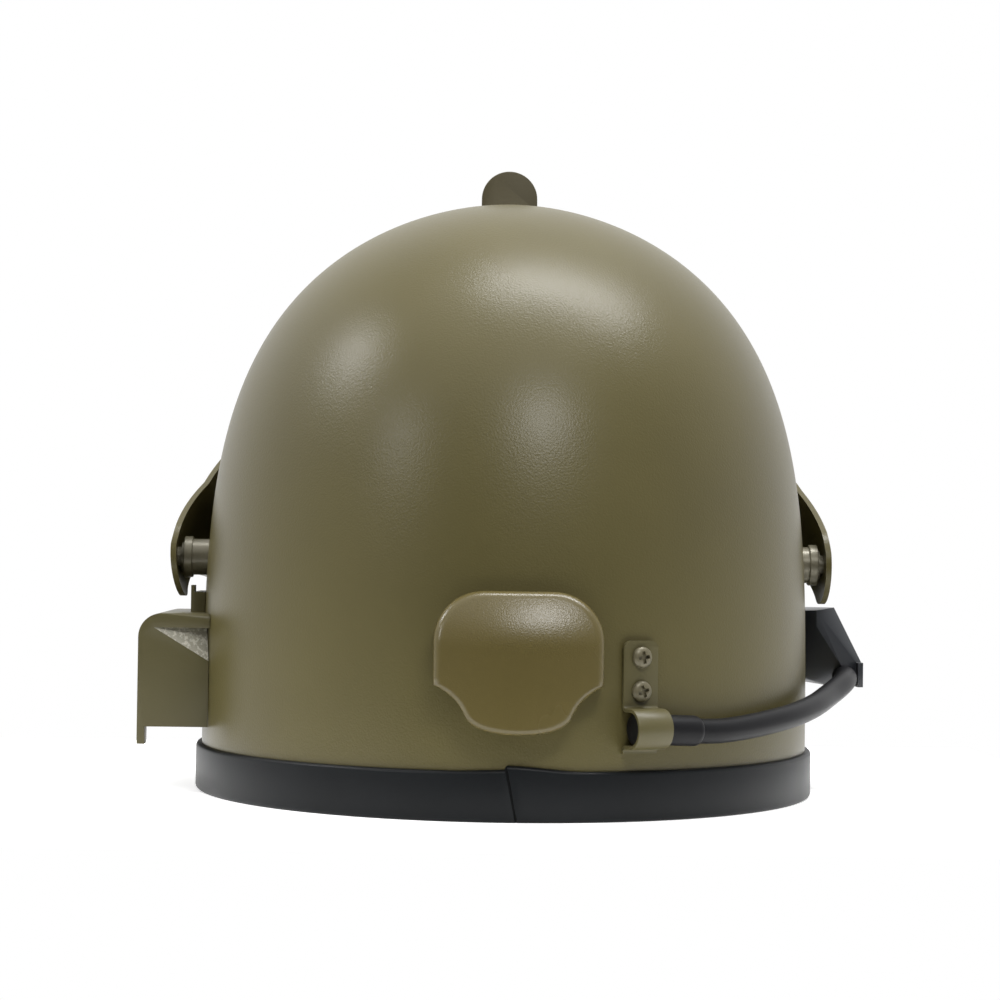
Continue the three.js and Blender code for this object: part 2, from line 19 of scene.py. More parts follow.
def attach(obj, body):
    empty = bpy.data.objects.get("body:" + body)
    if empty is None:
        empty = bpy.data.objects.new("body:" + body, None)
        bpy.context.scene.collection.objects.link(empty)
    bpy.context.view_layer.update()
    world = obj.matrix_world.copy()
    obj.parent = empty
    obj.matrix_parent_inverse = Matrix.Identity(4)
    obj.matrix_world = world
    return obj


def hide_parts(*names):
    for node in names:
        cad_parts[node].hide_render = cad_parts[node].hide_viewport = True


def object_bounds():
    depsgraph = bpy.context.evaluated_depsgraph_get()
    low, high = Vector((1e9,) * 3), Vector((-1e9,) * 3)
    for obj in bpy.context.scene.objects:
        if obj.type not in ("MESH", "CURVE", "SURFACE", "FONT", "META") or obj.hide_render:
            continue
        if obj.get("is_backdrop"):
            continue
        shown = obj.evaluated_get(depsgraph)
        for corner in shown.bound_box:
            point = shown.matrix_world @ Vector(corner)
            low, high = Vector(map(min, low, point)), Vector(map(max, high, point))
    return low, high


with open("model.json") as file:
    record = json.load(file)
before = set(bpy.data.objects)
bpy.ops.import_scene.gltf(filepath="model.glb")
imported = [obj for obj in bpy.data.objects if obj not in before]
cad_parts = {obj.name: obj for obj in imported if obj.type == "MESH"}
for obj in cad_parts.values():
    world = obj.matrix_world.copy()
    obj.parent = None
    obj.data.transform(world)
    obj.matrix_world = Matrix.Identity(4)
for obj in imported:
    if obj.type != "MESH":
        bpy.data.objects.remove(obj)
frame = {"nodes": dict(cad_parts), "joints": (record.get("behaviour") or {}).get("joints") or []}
cad_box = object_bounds()
MM = 0.001
HINGE = Vector(frame["joints"][0]["pos_m"])
AXIS = Vector((HINGE.x, HINGE.y, 0))
print("nodes:", len(frame["nodes"]), "hinge at", tuple(round(value, 5) for value in HINGE))

# %% [markdown]
# ## The shell's shape
#
# All the pieces lie on one dome, so its shape is written down once. Its half width falls slowly
# up the wall and fast at the crown, which one power rule gives. From the side it is the same curve,
# 1.2 times as long. A piece that lies on the dome is easiest to model round an upright axis, and
# then to lay on it: each point keeps its angle and height, and its distance from the round form
# becomes a distance along the dome's outward direction.

# %% The dome as a rule
SHELL_HALF_WIDTH = 121.4 * MM
SHELL_HEIGHT = 235.8 * MM
LENGTH_RATIO = 1.2
CROWN_FULLNESS = 4.15
CROWN_ROUNDNESS = 1.87
SHELL_WALL = 4 * MM
JUST_UNDER_CROWN = 0.99999


def half_width_at(height):
    share = min(max(height, 0) / SHELL_HEIGHT, 1)
    return SHELL_HALF_WIDTH * (1 - share ** CROWN_FULLNESS) ** (1 / CROWN_ROUNDNESS)


def outward_at(angle, height):
    share = min(max(height, 0) / SHELL_HEIGHT, JUST_UNDER_CROWN)
    fall = CROWN_FULLNESS / CROWN_ROUNDNESS * share ** (CROWN_FULLNESS - 1) / SHELL_HEIGHT
    rise = SHELL_HALF_WIDTH * fall * (1 - share ** CROWN_FULLNESS) ** (1 / CROWN_ROUNDNESS - 1)
    return Vector((math.cos(angle), math.sin(angle) / LENGTH_RATIO, rise)).normalized()


def on_shell(angle, height, standoff=0.0):
    half = half_width_at(height)
    point = Vector((half * math.cos(angle), LENGTH_RATIO * half * math.sin(angle), height))
    return point + outward_at(angle, height) * standoff


print("half width at the hinge:", round(half_width_at(HINGE.z) / MM, 2), "mm")


# %% Moves that repeat
def shifted(bm, offset):
    bmesh.ops.translate(bm, verts=bm.verts, vec=offset)


def turned(bm, degrees, axis):
    bmesh.ops.rotate(bm, verts=bm.verts, matrix=Matrix.Rotation(math.radians(degrees), 3, axis))


def facing_out(bm):
    bmesh.ops.recalc_face_normals(bm, faces=bm.faces)


def drawn_out(bm, offset):
    """A flat form gets its depth."""
    grown = bmesh.ops.extrude_face_region(bm, geom=bm.faces[:])
    moved = [item for item in grown["geom"] if isinstance(item, bmesh.types.BMVert)]
    bmesh.ops.translate(bm, verts=moved, vec=offset)
    facing_out(bm)


# %% Lay a round form on the dome
ON_AXIS = 1e-6


def lay_on_shell(bm, gap=None):
    for vert in bm.verts:
        radius = math.hypot(vert.co.x, vert.co.y)
        if radius < ON_AXIS:
            continue
        angle = math.atan2(vert.co.y, vert.co.x)
        standoff = radius - half_width_at(vert.co.z)
        if gap:
            standoff += gap(*on_shell(angle, vert.co.z))
        vert.co = on_shell(angle, vert.co.z, standoff)


def dome_profile(low, rings):
    heights = [SHELL_HEIGHT * math.sin(i / rings * math.pi / 2) ** (2 / CROWN_FULLNESS)
               for i in range(rings + 1)]
    return [(half_width_at(low), low)] + [(half_width_at(z), z) for z in heights if z > low + 2 * MM]


# %% Spin a profile
FULL_TURN = 2 * math.pi


def spun(profile, steps, start=0.0, sweep=FULL_TURN):
    bm = bmesh.new()
    verts = [bm.verts.new((radius * math.cos(start), radius * math.sin(start), z)) for radius, z in profile]
    edges = [bm.edges.new(pair) for pair in zip(verts, verts[1:])]
    bmesh.ops.spin(bm, geom=verts + edges, cent=(0, 0, 0), axis=(0, 0, 1), dvec=(0, 0, 0), angle=sweep,
                   steps=steps, use_merge=sweep == FULL_TURN)
    bmesh.ops.remove_doubles(bm, verts=bm.verts, dist=1e-7)
    facing_out(bm)
    return bm


# %% Cut one form with another
def cut(bm, tool, operation="DIFFERENCE"):
    pair = []
    for source in (bm, tool):
        mesh = bpy.data.meshes.new("work")
        source.to_mesh(mesh)
        pair.append(bpy.data.objects.new("work", mesh))
        bpy.context.scene.collection.objects.link(pair[-1])
    saw = pair[0].modifiers.new("saw", "BOOLEAN")
    saw.object = pair[1]
    saw.operation = operation
    saw.solver = "EXACT"
    result = bpy.data.meshes.new_from_object(pair[0].evaluated_get(bpy.context.evaluated_depsgraph_get()))
    bm.clear()
    bm.from_mesh(result)
    tool.free()
    for piece in pair:
        mesh = piece.data
        bpy.data.objects.remove(piece)
        bpy.data.meshes.remove(mesh)
    bpy.data.meshes.remove(result)
    return bm


# %% Flat forms with rounded corners
def outlined(corners, start, depth, segments=10):
    """A prism along Y. Each corner is (across, up, rounding)."""
    bm = bmesh.new()
    verts = [bm.verts.new((x, start, z)) for x, z, _ in corners]
    bm.faces.new(verts)
    for vert, (_, _, rounding) in zip(verts, corners):
        if rounding:
            bmesh.ops.bevel(bm, geom=[vert], offset=rounding, offset_type="OFFSET", segments=segments,
                            profile=0.5, affect="VERTICES", material=-1, clamp_overlap=True)
    drawn_out(bm, (0, depth, 0))
    return bm


def block(low, high):
    bm = bmesh.new()
    bmesh.ops.create_cube(bm, size=1)
    size = [high[i] - low[i] for i in range(3)]
    bmesh.ops.scale(bm, verts=bm.verts, vec=size)
    shifted(bm, [(high[i] + low[i]) / 2 for i in range(3)])
    return bm


# %% Draw a section along straights and turns
def rounded_section(low_w, high_w, low_h, high_h, rounding, per_corner=4):
    points = []
    centres = [(high_w, high_h, 0), (low_w, high_h, 90), (low_w, low_h, 180), (high_w, low_h, 270)]
    for w, h, first in centres:
        side_w = w + (rounding if w == low_w else -rounding)
        side_h = h + (rounding if h == low_h else -rounding)
        for i in range(per_corner + 1):
            turn = math.radians(first + 90 * i / per_corner)
            points.append((side_w + rounding * math.cos(turn), side_h + rounding * math.sin(turn)))
    return points


def drawn(section, start, heading, moves, closed=False):
    """Flat in X and Z: widths lie left of the heading, and heights stand on +Y."""
    bm = bmesh.new()
    place = Vector((start[0], 0, start[1]))
    ahead = Vector((heading[0], 0, heading[1]))
    left = Vector((-ahead.z, 0, ahead.x))
    verts = [bm.verts.new(place + left * w + Vector((0, h, 0))) for w, h in section]
    edges = [bm.edges.new((verts[i - 1], verts[i])) for i in range(len(verts))]
    first = verts[:]
    ring = verts + edges
    for kind, amount, steps, radius in moves:
        if kind == "straight":
            made = bmesh.ops.spin(bm, geom=ring, cent=place, axis=(0, 1, 0), dvec=ahead * amount / steps,
                                  angle=0, steps=steps)
            place += ahead * amount
        else:
            side = Vector((ahead.z, 0, -ahead.x)) * (1 if amount > 0 else -1)
            centre = place + side * radius
            made = bmesh.ops.spin(bm, geom=ring, cent=centre, axis=(0, 1, 0), dvec=(0, 0, 0),
                                  angle=math.radians(amount), steps=steps)
            turn = Matrix.Rotation(math.radians(amount), 3, "Y")
            place = centre + turn @ (place - centre)
            ahead = turn @ ahead
        ring = made["geom_last"]
    last = [item for item in ring if isinstance(item, bmesh.types.BMVert)]
    if closed:
        bmesh.ops.remove_doubles(bm, verts=first + last, dist=1e-6)
    else:
        for loop in (first, last):
            open_end = [edge for edge in bm.edges if all(vert in loop for vert in edge.verts)]
            bmesh.ops.contextual_create(bm, geom=open_end)
    facing_out(bm)
    return bm


def lay_on_front(bm):
    """A flat form in X and Z with its heights on +Y goes on the dome's front."""
    for vert in bm.verts:
        x, standoff, z = vert.co
        half = half_width_at(z)
        along = math.sqrt(max(half * half - x * x, 0))
        vert.co = on_shell(math.atan2(along, x), z, standoff)


# %% Finish a piece
ROUNDED_FROM = 40


def finished(bm, name, finish, slot, *nodes, body="helmet", sharp=32, round_over=None, extra=()):
    """Put a form in the frame's place, round its edges, shade it, and let it ride on its body."""
    shifted(bm, AXIS)
    mesh = bpy.data.meshes.new(name)
    bm.to_mesh(mesh)
    bm.free()
    piece = bpy.data.objects.new(name, mesh)
    bpy.context.scene.collection.objects.link(piece)
    for material in (finish, *extra):
        mesh.materials.append(material)
    if round_over:
        edge = piece.modifiers.new("edge", "BEVEL")
        edge.width = round_over
        edge.segments = 3
        edge.limit_method = "ANGLE"
        edge.angle_limit = math.radians(ROUNDED_FROM)
        rounded = bpy.data.meshes.new_from_object(piece.evaluated_get(bpy.context.evaluated_depsgraph_get()))
        piece.modifiers.clear()
        piece.data = rounded
        bpy.data.meshes.remove(mesh)
        rounded.name = name
    piece.data.shade_smooth()
    piece.data.set_sharp_from_angle(angle=math.radians(sharp))
    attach(piece, body)
    if nodes:
        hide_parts(*nodes)
    print(name, len(piece.data.polygons), "faces")
    return piece


# %% [markdown]
# ## The finishes
#
# The metal is sprayed in a satin olive that keeps a fine orange peel, so a highlight breaks up into
# grains. A noise drives the bump at about a millimetre, and a slower one varies the colour and the
# gloss. All patterns read Object coordinates, in metres, so they stay on the piece as it moves. The
# rubber and the plastic are made the same way with other numbers. The guard's sloping corner is
# coarse and faces a light: its finish is a much lighter copy of the paint with light flecks mixed in,
# which is a painted highlight with painted glints, over a strong bump.

# %% A sprayed or moulded finish
GRAIN_DEPTH = 0.4 * MM
# The colour of the light flecks: painted glints that stand in for a highlight's grain.
GLINT_COLOUR = (0.62, 0.6, 0.52, 1)


def finish_of(name, colour, roughness, mottle=0.06, cloud=14, grain=900, bump=0.08, metallic=0.0,
              specular=0.5, spread=0.05, glint_share=0.0):
    material = bpy.data.materials.new(name)
    material.use_nodes = True
    nodes = material.node_tree.nodes
    links = material.node_tree.links
    shader = nodes["Principled BSDF"]
    shader.inputs["Metallic"].default_value = metallic
    shader.inputs["Specular IOR Level"].default_value = specular
    place = nodes.new("ShaderNodeTexCoord")
    clouds = nodes.new("ShaderNodeTexNoise")
    clouds.inputs["Scale"].default_value = cloud
    clouds.inputs["Detail"].default_value = 4
    grains = nodes.new("ShaderNodeTexNoise")
    grains.inputs["Scale"].default_value = grain
    grains.inputs["Detail"].default_value = 2
    for noise in (clouds, grains):
        links.new(place.outputs["Object"], noise.inputs["Vector"])
    tint = nodes.new("ShaderNodeValToRGB")
    low, high = tint.color_ramp.elements
    low.position, high.position = 0.3, 0.7
    low.color = [value * (1 - mottle) for value in colour] + [1]
    high.color = [value * (1 + mottle) for value in colour] + [1]
    links.new(clouds.outputs["Fac"], tint.inputs["Fac"])
    shade = tint.outputs["Color"]
    # Light flecks mixed into the colour: painted glints.
    if glint_share:
        glint_noise = nodes.new("ShaderNodeTexNoise")
        glint_noise.inputs["Scale"].default_value = grain * 0.6
        glint_noise.inputs["Detail"].default_value = 3
        links.new(place.outputs["Object"], glint_noise.inputs["Vector"])
        share = nodes.new("ShaderNodeMapRange")
        share.inputs["From Min"].default_value = 0.5
        share.inputs["From Max"].default_value = 0.6
        share.inputs["To Max"].default_value = glint_share
        links.new(glint_noise.outputs["Fac"], share.inputs["Value"])
        mix = nodes.new("ShaderNodeMix")
        mix.data_type = "RGBA"
        mix.inputs["B"].default_value = GLINT_COLOUR
        links.new(share.outputs["Result"], mix.inputs["Factor"])
        links.new(shade, mix.inputs["A"])
        shade = mix.outputs["Result"]
    links.new(shade, shader.inputs["Base Color"])
    gloss = nodes.new("ShaderNodeMapRange")
    gloss.inputs["To Min"].default_value = roughness - spread
    gloss.inputs["To Max"].default_value = roughness + spread
    links.new(clouds.outputs["Fac"], gloss.inputs["Value"])
    links.new(gloss.outputs["Result"], shader.inputs["Roughness"])
    if bump:
        relief = nodes.new("ShaderNodeBump")
        relief.inputs["Strength"].default_value = bump
        relief.inputs["Distance"].default_value = GRAIN_DEPTH
        links.new(grains.outputs["Fac"], relief.inputs["Height"])
        links.new(relief.outputs["Normal"], shader.inputs["Normal"])
    return material


olive_paint = finish_of("olive_paint", (0.091, 0.077, 0.028), 0.35, grain=1300, bump=0.24, specular=0.31)
cover_paint = finish_of("cover_paint", (0.099, 0.078, 0.026), 0.27, grain=1800, bump=0.18, specular=0.42)
guard_paint = finish_of("guard_paint", (0.086, 0.075, 0.032), 0.4, specular=0.32)
# A much lighter copy of the guard's paint for its sloping facet: a painted highlight, with painted glints.
guard_painted_highlight = finish_of("guard_painted_highlight", (0.34, 0.325, 0.26), 0.42, grain=1300, bump=0.6, glint_share=0.8)
inside_paint = finish_of("inside_paint", (0.05, 0.045, 0.03), 0.6, grain=500)
latch_paint = finish_of("latch_paint", (0.072, 0.06, 0.028), 0.5, specular=0.3)
stud_paint = finish_of("stud_paint", (0.17, 0.155, 0.105), 0.33, metallic=0.2, grain=500)
screw_metal = finish_of("screw_metal", (0.125, 0.11, 0.065), 0.38, metallic=0.2, grain=900)
edge_rubber = finish_of("edge_rubber", (0.006, 0.007, 0.008), 0.4, mottle=0.15, cloud=30, grain=1400,
                        bump=0.05, specular=0.16)
cable_rubber = finish_of("cable_rubber", (0.007, 0.007, 0.008), 0.42, mottle=0.1, grain=1200, bump=0.04,
                         specular=0.14)
black_plastic = finish_of("black_plastic", (0.02, 0.022, 0.026), 0.34, mottle=0.1, grain=1600, bump=0.08,
                          specular=0.6)
frame_paint = finish_of("frame_paint", (0.07, 0.061, 0.026), 0.42)
print("finishes:", len(bpy.data.materials))

# %% The window's glass
window_glass = bpy.data.materials.new("window_glass")
window_glass.use_nodes = True
glass_nodes = window_glass.node_tree.nodes
glass_links = window_glass.node_tree.links
glass_shader = glass_nodes["Principled BSDF"]
glass_shader.inputs["Transmission Weight"].default_value = 0.85
glass_shader.inputs["Roughness"].default_value = 0.04
glass_shader.inputs["IOR"].default_value = 1.5
glass_place = glass_nodes.new("ShaderNodeTexCoord")
glass_clouds = glass_nodes.new("ShaderNodeTexNoise")
glass_clouds.inputs["Scale"].default_value = 20
glass_tint = glass_nodes.new("ShaderNodeValToRGB")
glass_tint.color_ramp.elements[0].color = (0.5, 0.6, 0.52, 1)
glass_tint.color_ramp.elements[1].color = (0.58, 0.67, 0.6, 1)
glass_links.new(glass_place.outputs["Object"], glass_clouds.inputs["Vector"])
glass_links.new(glass_clouds.outputs["Fac"], glass_tint.inputs["Fac"])
glass_links.new(glass_tint.outputs["Color"], glass_shader.inputs["Base Color"])

# %% [markdown]
# ## The shell
#
# A pressed metal bowl with one wall all over. Its profile is spun about the upright axis, each point
# is laid on the dome, and the wall gets its thickness inwards. The face opening is then cut with a
# flat prism from the front, as a press would cut it.

# %% Shell
SHELL_EDGE = 2.5 * MM
FACE_HALF_WIDTH = 72 * MM
FACE_TOP = 156 * MM
FACE_CORNER = 42 * MM
FACE_CUT_LOW = -20 * MM
FACE_CUT_START = 30 * MM
FRONT = 250 * MM


def face_prism(grow):
    half = FACE_HALF_WIDTH + grow
    corner = FACE_CORNER + grow
    corners = [(-half, FACE_CUT_LOW, 0), (half, FACE_CUT_LOW, 0), (half, FACE_TOP + grow, corner),
               (-half, FACE_TOP + grow, corner)]
    return outlined(corners, FACE_CUT_START, FRONT, segments=16)


shell_form = spun(dome_profile(SHELL_EDGE, 72), 200)
lay_on_shell(shell_form)
facing_out(shell_form)
bmesh.ops.solidify(shell_form, geom=shell_form.faces[:], thickness=SHELL_WALL)
inner_reach = min(abs(v.co.x) for v in shell_form.verts if abs(v.co.y) < 1 * MM and v.co.z < 5 * MM)
print("shell wall:", round((SHELL_HALF_WIDTH - inner_reach) / MM, 2), "mm")
cut(shell_form, face_prism(0))
for face in shell_form.faces:
    middle = face.calc_center_median()
    if face.normal.dot(outward_at(math.atan2(middle.y / LENGTH_RATIO, middle.x), middle.z)) < -0.5:
        face.material_index = 1
shell = finished(shell_form, "shell_pressed", olive_paint, "olive_paint", "shell", extra=(inside_paint,))

# %% [markdown]
# ## The rubber edge
#
# A moulded rubber channel grips the shell's edge all round. Its round-cornered section is spun into
# the lower ring, and drawn up one side of the face opening, round the top and down again. At the
# back its two ends meet in a leaning joint, and the right-hand end rides up a little, as rubber
# does where it is stretched over an edge.

# %% Rubber edge
TRIM_HEIGHT = 18 * MM
TRIM_FACE_WIDTH = 12 * MM
TRIM_LIP = 2.3 * MM
TRIM_ROUNDING = 1.4 * MM
TRIM_ARCH_LOW = 4 * MM
TRIM_SEAM_X = -2 * MM
TRIM_SEAM_LEAN = 12
TRIM_SEAM_HALF = 0.4 * MM
TRIM_STILL = 3 * MM
TRIM_RISE = 2.1 * MM
TRIM_RISE_LENGTH = 30 * MM
TRIM_LEFT_RISE = 0.7 * MM
TRIM_LEFT_SHARE = 0.6

ring_section = [(SHELL_HALF_WIDTH + w, h) for w, h in
                rounded_section(-SHELL_WALL - TRIM_LIP, TRIM_LIP, 0, TRIM_HEIGHT, TRIM_ROUNDING)]
rim_form = spun(ring_section + ring_section[:1], 240)
lay_on_shell(rim_form)
facing_out(rim_form)
cut(rim_form, face_prism(-TRIM_LIP))
arch_section = rounded_section(-TRIM_LIP, TRIM_FACE_WIDTH, -SHELL_WALL - TRIM_LIP, TRIM_LIP, TRIM_ROUNDING)
arch_form = drawn(arch_section, (-FACE_HALF_WIDTH, TRIM_ARCH_LOW), (0, 1), [
    ("straight", FACE_TOP - FACE_CORNER - TRIM_ARCH_LOW, 24, 0),
    ("turn", 90, 20, FACE_CORNER),
    ("straight", 2 * (FACE_HALF_WIDTH - FACE_CORNER), 16, 0),
    ("turn", 90, 20, FACE_CORNER),
    ("straight", FACE_TOP - FACE_CORNER - TRIM_ARCH_LOW, 24, 0),
])
lay_on_front(arch_form)
facing_out(arch_form)
cut(rim_form, arch_form, "UNION")
SHELL_BACK = LENGTH_RATIO * SHELL_HALF_WIDTH
seam_tool = block((-TRIM_SEAM_HALF, -FRONT, -40 * MM), (TRIM_SEAM_HALF, -SHELL_BACK - 0.4 * MM, 60 * MM))
turned(seam_tool, -TRIM_SEAM_LEAN, "Y")
shifted(seam_tool, (TRIM_SEAM_X, 0, TRIM_HEIGHT / 2))
cut(rim_form, seam_tool)
for vert in rim_form.verts:
    if vert.co.y < 0 and vert.co.z > TRIM_STILL:
        joint = TRIM_SEAM_X + (TRIM_HEIGHT / 2 - vert.co.z) * math.tan(math.radians(TRIM_SEAM_LEAN))
        past = (vert.co.x - joint) / TRIM_RISE_LENGTH
        share = (vert.co.z - TRIM_STILL) / (TRIM_HEIGHT - TRIM_STILL)
        if 0 < past < 1:
            vert.co.z += TRIM_RISE * (1 - past) ** 2 * (1 + 2 * past) * share
        elif -TRIM_LEFT_SHARE < past <= 0:
            vert.co.z += TRIM_LEFT_RISE * (1 + past / TRIM_LEFT_SHARE) * share
finished(rim_form, "rubber_edge", edge_rubber, "edge_rubber", "edge_trim", sharp=50)

# %% [markdown]
# ## The back cover
#
# A pressed cover with square shoulders above and a round lobe below. Its upper third slopes back
# to the shell like a roof, and the rest stands upright with a slight bend from side to side. Its
# outline is one ring of edges, which is grown inwards ring by ring to the middle, so the face can
# follow the roof. The same ring is grown inwards a second time for the back, which lies in the
# shell's wall, and the piece is closed.

# %% Back cover
COVER_HALF_WIDTH = 30 * MM
COVER_TOP = 81.5 * MM
COVER_SHOULDER = 48.5 * MM
COVER_BOTTOM = 31.3 * MM
COVER_CORNER = 17.5 * MM
COVER_PROUD = 11 * MM
COVER_FOOT = 2 * MM
COVER_EDGE = 2.3 * MM
COVER_RIDGE = 61.5 * MM
COVER_CENTRE = 57 * MM
COVER_ROOF_FALL = 7.4 * MM
COVER_SIDE_FALL = 4.2 * MM
COVER_LOBE_END = Vector((18.5, 37)) * MM


def cover_right_side():
    """From the bottom of the lobe up the right side to the top's middle."""
    lobe = geometry.interpolate_bezier(Vector((0, COVER_BOTTOM)), Vector((9 * MM, COVER_BOTTOM)),
                                       Vector((16, 33)) * MM, COVER_LOBE_END, 14)
    corner = Vector((COVER_HALF_WIDTH, COVER_SHOULDER))
    shoulder = geometry.interpolate_bezier(COVER_LOBE_END, Vector((20.5, 41)) * MM, Vector((22, 44.5)) * MM,
                                           corner, 12)
    side_rise = COVER_TOP - COVER_CORNER - COVER_SHOULDER
    side = [corner + Vector((0, i / 6 * side_rise)) for i in range(1, 6)]
    centre = Vector((COVER_HALF_WIDTH - COVER_CORNER, COVER_TOP - COVER_CORNER))
    arc = [centre + Vector((math.cos(t), math.sin(t))) * COVER_CORNER
           for t in (math.radians(90 * i / 14) for i in range(15))]
    top = [Vector((centre.x * (1 - i / 5), COVER_TOP)) for i in range(1, 5)]
    return list(lobe) + list(shoulder[1:]) + side + arc + top


def cover_proud(x, z):
    roof = max(0.0, (z - COVER_RIDGE) / (COVER_TOP - COVER_RIDGE))
    side = abs(x) / COVER_HALF_WIDTH
    return COVER_PROUD - COVER_ROOF_FALL * roof ** 1.5 - COVER_SIDE_FALL * side ** 2


right_side = cover_right_side()
outline = right_side + [Vector((0, COVER_TOP))] + [Vector((-p.x, p.y)) for p in reversed(right_side[1:])]
cover_form = bmesh.new()
ring = [cover_form.verts.new((p.x, 0, p.y)) for p in outline]
ring_edges = [cover_form.edges.new((ring[i - 1], ring[i])) for i in range(len(ring))]


def grown_inwards(edges, shares):
    """Grow a ring of edges ring by ring towards the middle and close it there."""
    layers = []
    before = 1.0
    for share in shares:
        made = bmesh.ops.extrude_edge_only(cover_form, edges=edges)
        edges = [item for item in made["geom"]
                 if isinstance(item, bmesh.types.BMEdge) and len(item.link_faces) == 1]
        moved = [item for item in made["geom"] if isinstance(item, bmesh.types.BMVert)]
        bmesh.ops.scale(cover_form, verts=moved, vec=(share / before, 1, share / before),
                        space=Matrix.Translation((0, 0, -COVER_CENTRE)))
        before = share
        layers.append(moved)
    bmesh.ops.contextual_create(cover_form, geom=edges)
    return layers


edge_steps = [(1.0, 1.0)]
edge_steps += [(1 - COVER_EDGE / COVER_HALF_WIDTH * (1 - math.cos(t)), 1 - math.sin(t))
               for t in (math.radians(90 * i / 5) for i in range(1, 6))]
face_steps = [(share, 0.0) for share in (0.9, 0.86, 0.8, 0.73, 0.65, 0.56, 0.46, 0.35, 0.23, 0.1)]
front_steps = edge_steps + face_steps
front_layers = grown_inwards(ring_edges, [share for share, sunk in front_steps])
back_layers = grown_inwards(ring_edges, (0.85, 0.7, 0.55, 0.4, 0.25, 0.1))
for verts, (share, sunk) in zip(front_layers, front_steps):
    for vert in verts:
        vert.co.y = -SHELL_BACK - cover_proud(vert.co.x, vert.co.z) + sunk * COVER_EDGE
for verts in [ring] + back_layers:
    for vert in verts:
        angle = math.asin(max(-1, min(1, vert.co.x / half_width_at(vert.co.z))))
        vert.co.y = -LENGTH_RATIO * half_width_at(vert.co.z) * math.cos(angle) + COVER_FOOT
facing_out(cover_form)
finished(cover_form, "cover_pressed", cover_paint, "cover_paint", "back_cover", sharp=60)

# %% [markdown]
# ## The side guard
#
# A hood bent from 3 mm sheet over the wearer's left side. It starts as a flat outline with one round
# corner, drawn out into a prism whose upper rear edge is bent over. Below that bend a sloping plane
# takes off the corner next to the shell. The inside is cut away, the outer wall ends in a short tab,
# and a flange with a short lip stands along the shell. The sloping facet faces a light and is coarse,
# so its faces get a second finish: a much lighter paint with light flecks, which is a painted
# highlight, over a coarse bump.

# %% Side guard
GUARD_REACH = 144.2 * MM
GUARD_TOP = 69.6 * MM
GUARD_LOW = 18.6 * MM
GUARD_PANEL_LOW = 25.4 * MM
GUARD_BACK = -41 * MM
GUARD_FRONT = 40 * MM
GUARD_WALL = 3 * MM
GUARD_CORNER = 9.2 * MM
GUARD_BEND = 4.2 * MM
FACET_NORMAL = Vector((-0.278, 0.842, -0.461)).normalized()
FACET_POINT = Vector((-114, -41, 49.5)) * MM
FACET_TOP = 64 * MM
GUARD_TAB = 9 * MM
FLANGE_X = -125.6 * MM
FLANGE_TOP = 77.6 * MM
FLANGE_BACK = -20 * MM
FLANGE_FRONT = 30 * MM
FLANGE_SINK = 1 * MM
LIP_TOP = 80.4 * MM
LIP_FRONT = -12 * MM
LIP = 1.4 * MM
SEAT_GAP = 0.3 * MM
SEAT_LOW = -20 * MM
INSIDE_X = -100 * MM
OUTSIDE_X = -160 * MM
PAST = 5 * MM
JUST_PAST = 1 * MM


def seat_form():
    """The shell with a hair's gap, to cut what sits on it."""
    form = spun([(0, SEAT_LOW)] + dome_profile(SEAT_LOW, 40), 160)
    lay_on_shell(form, gap=lambda x, y, z: SEAT_GAP)
    facing_out(form)
    return form


def sliced(bm, point, normal):
    """Keep what lies along the normal and close the cut."""
    made = bmesh.ops.bisect_plane(bm, geom=bm.verts[:] + bm.edges[:] + bm.faces[:], plane_co=point,
                                  plane_no=normal, clear_inner=True)
    rim = [item for item in made["geom_cut"] if isinstance(item, bmesh.types.BMEdge)]
    bmesh.ops.contextual_create(bm, geom=rim)
    return bm


def guard_prism(inset, low):
    corners = [(INSIDE_X, low, 0), (INSIDE_X, GUARD_TOP - inset, 0),
               (-GUARD_REACH + inset, GUARD_TOP - inset, GUARD_CORNER - inset),
               (-GUARD_REACH + inset, low, 0)]
    bm = outlined(corners, GUARD_BACK + inset, GUARD_FRONT - GUARD_BACK - 2 * inset, segments=12)
    if inset:
        return sliced(bm, FACET_POINT + FACET_NORMAL * inset, FACET_NORMAL)
    near = 0.01 * MM
    bend = [edge for edge in bm.edges
            if all(v.co.y < GUARD_BACK + near and v.co.z > GUARD_TOP - near for v in edge.verts)]
    bmesh.ops.bevel(bm, geom=bend, offset=GUARD_BEND, offset_type="OFFSET", segments=8, profile=0.5,
                    affect="EDGES", material=-1, clamp_overlap=False)
    return bm


guard_form = guard_prism(0, GUARD_LOW)
recess = block((OUTSIDE_X, GUARD_BACK - PAST, 0), (INSIDE_X, 0, FACET_TOP))
cut(guard_form, sliced(recess, FACET_POINT, -FACET_NORMAL))
cut(guard_form, guard_prism(GUARD_WALL, GUARD_LOW - PAST))
panel_end = (INSIDE_X, GUARD_FRONT + JUST_PAST, GUARD_PANEL_LOW)
cut(guard_form, block((-GUARD_REACH + GUARD_WALL, GUARD_BACK - JUST_PAST, GUARD_LOW - PAST), panel_end))
cut(guard_form, block((-GUARD_REACH - JUST_PAST, GUARD_BACK + GUARD_TAB, GUARD_LOW - PAST), panel_end))
flange_foot = (FLANGE_X, FLANGE_BACK, GUARD_TOP - FLANGE_SINK)
flange = block(flange_foot, (INSIDE_X - 10 * MM, FLANGE_FRONT, FLANGE_TOP))
cut(flange, block(flange_foot, (FLANGE_X + LIP, LIP_FRONT, LIP_TOP)), "UNION")
cut(guard_form, flange, "UNION")
cut(guard_form, seat_form())
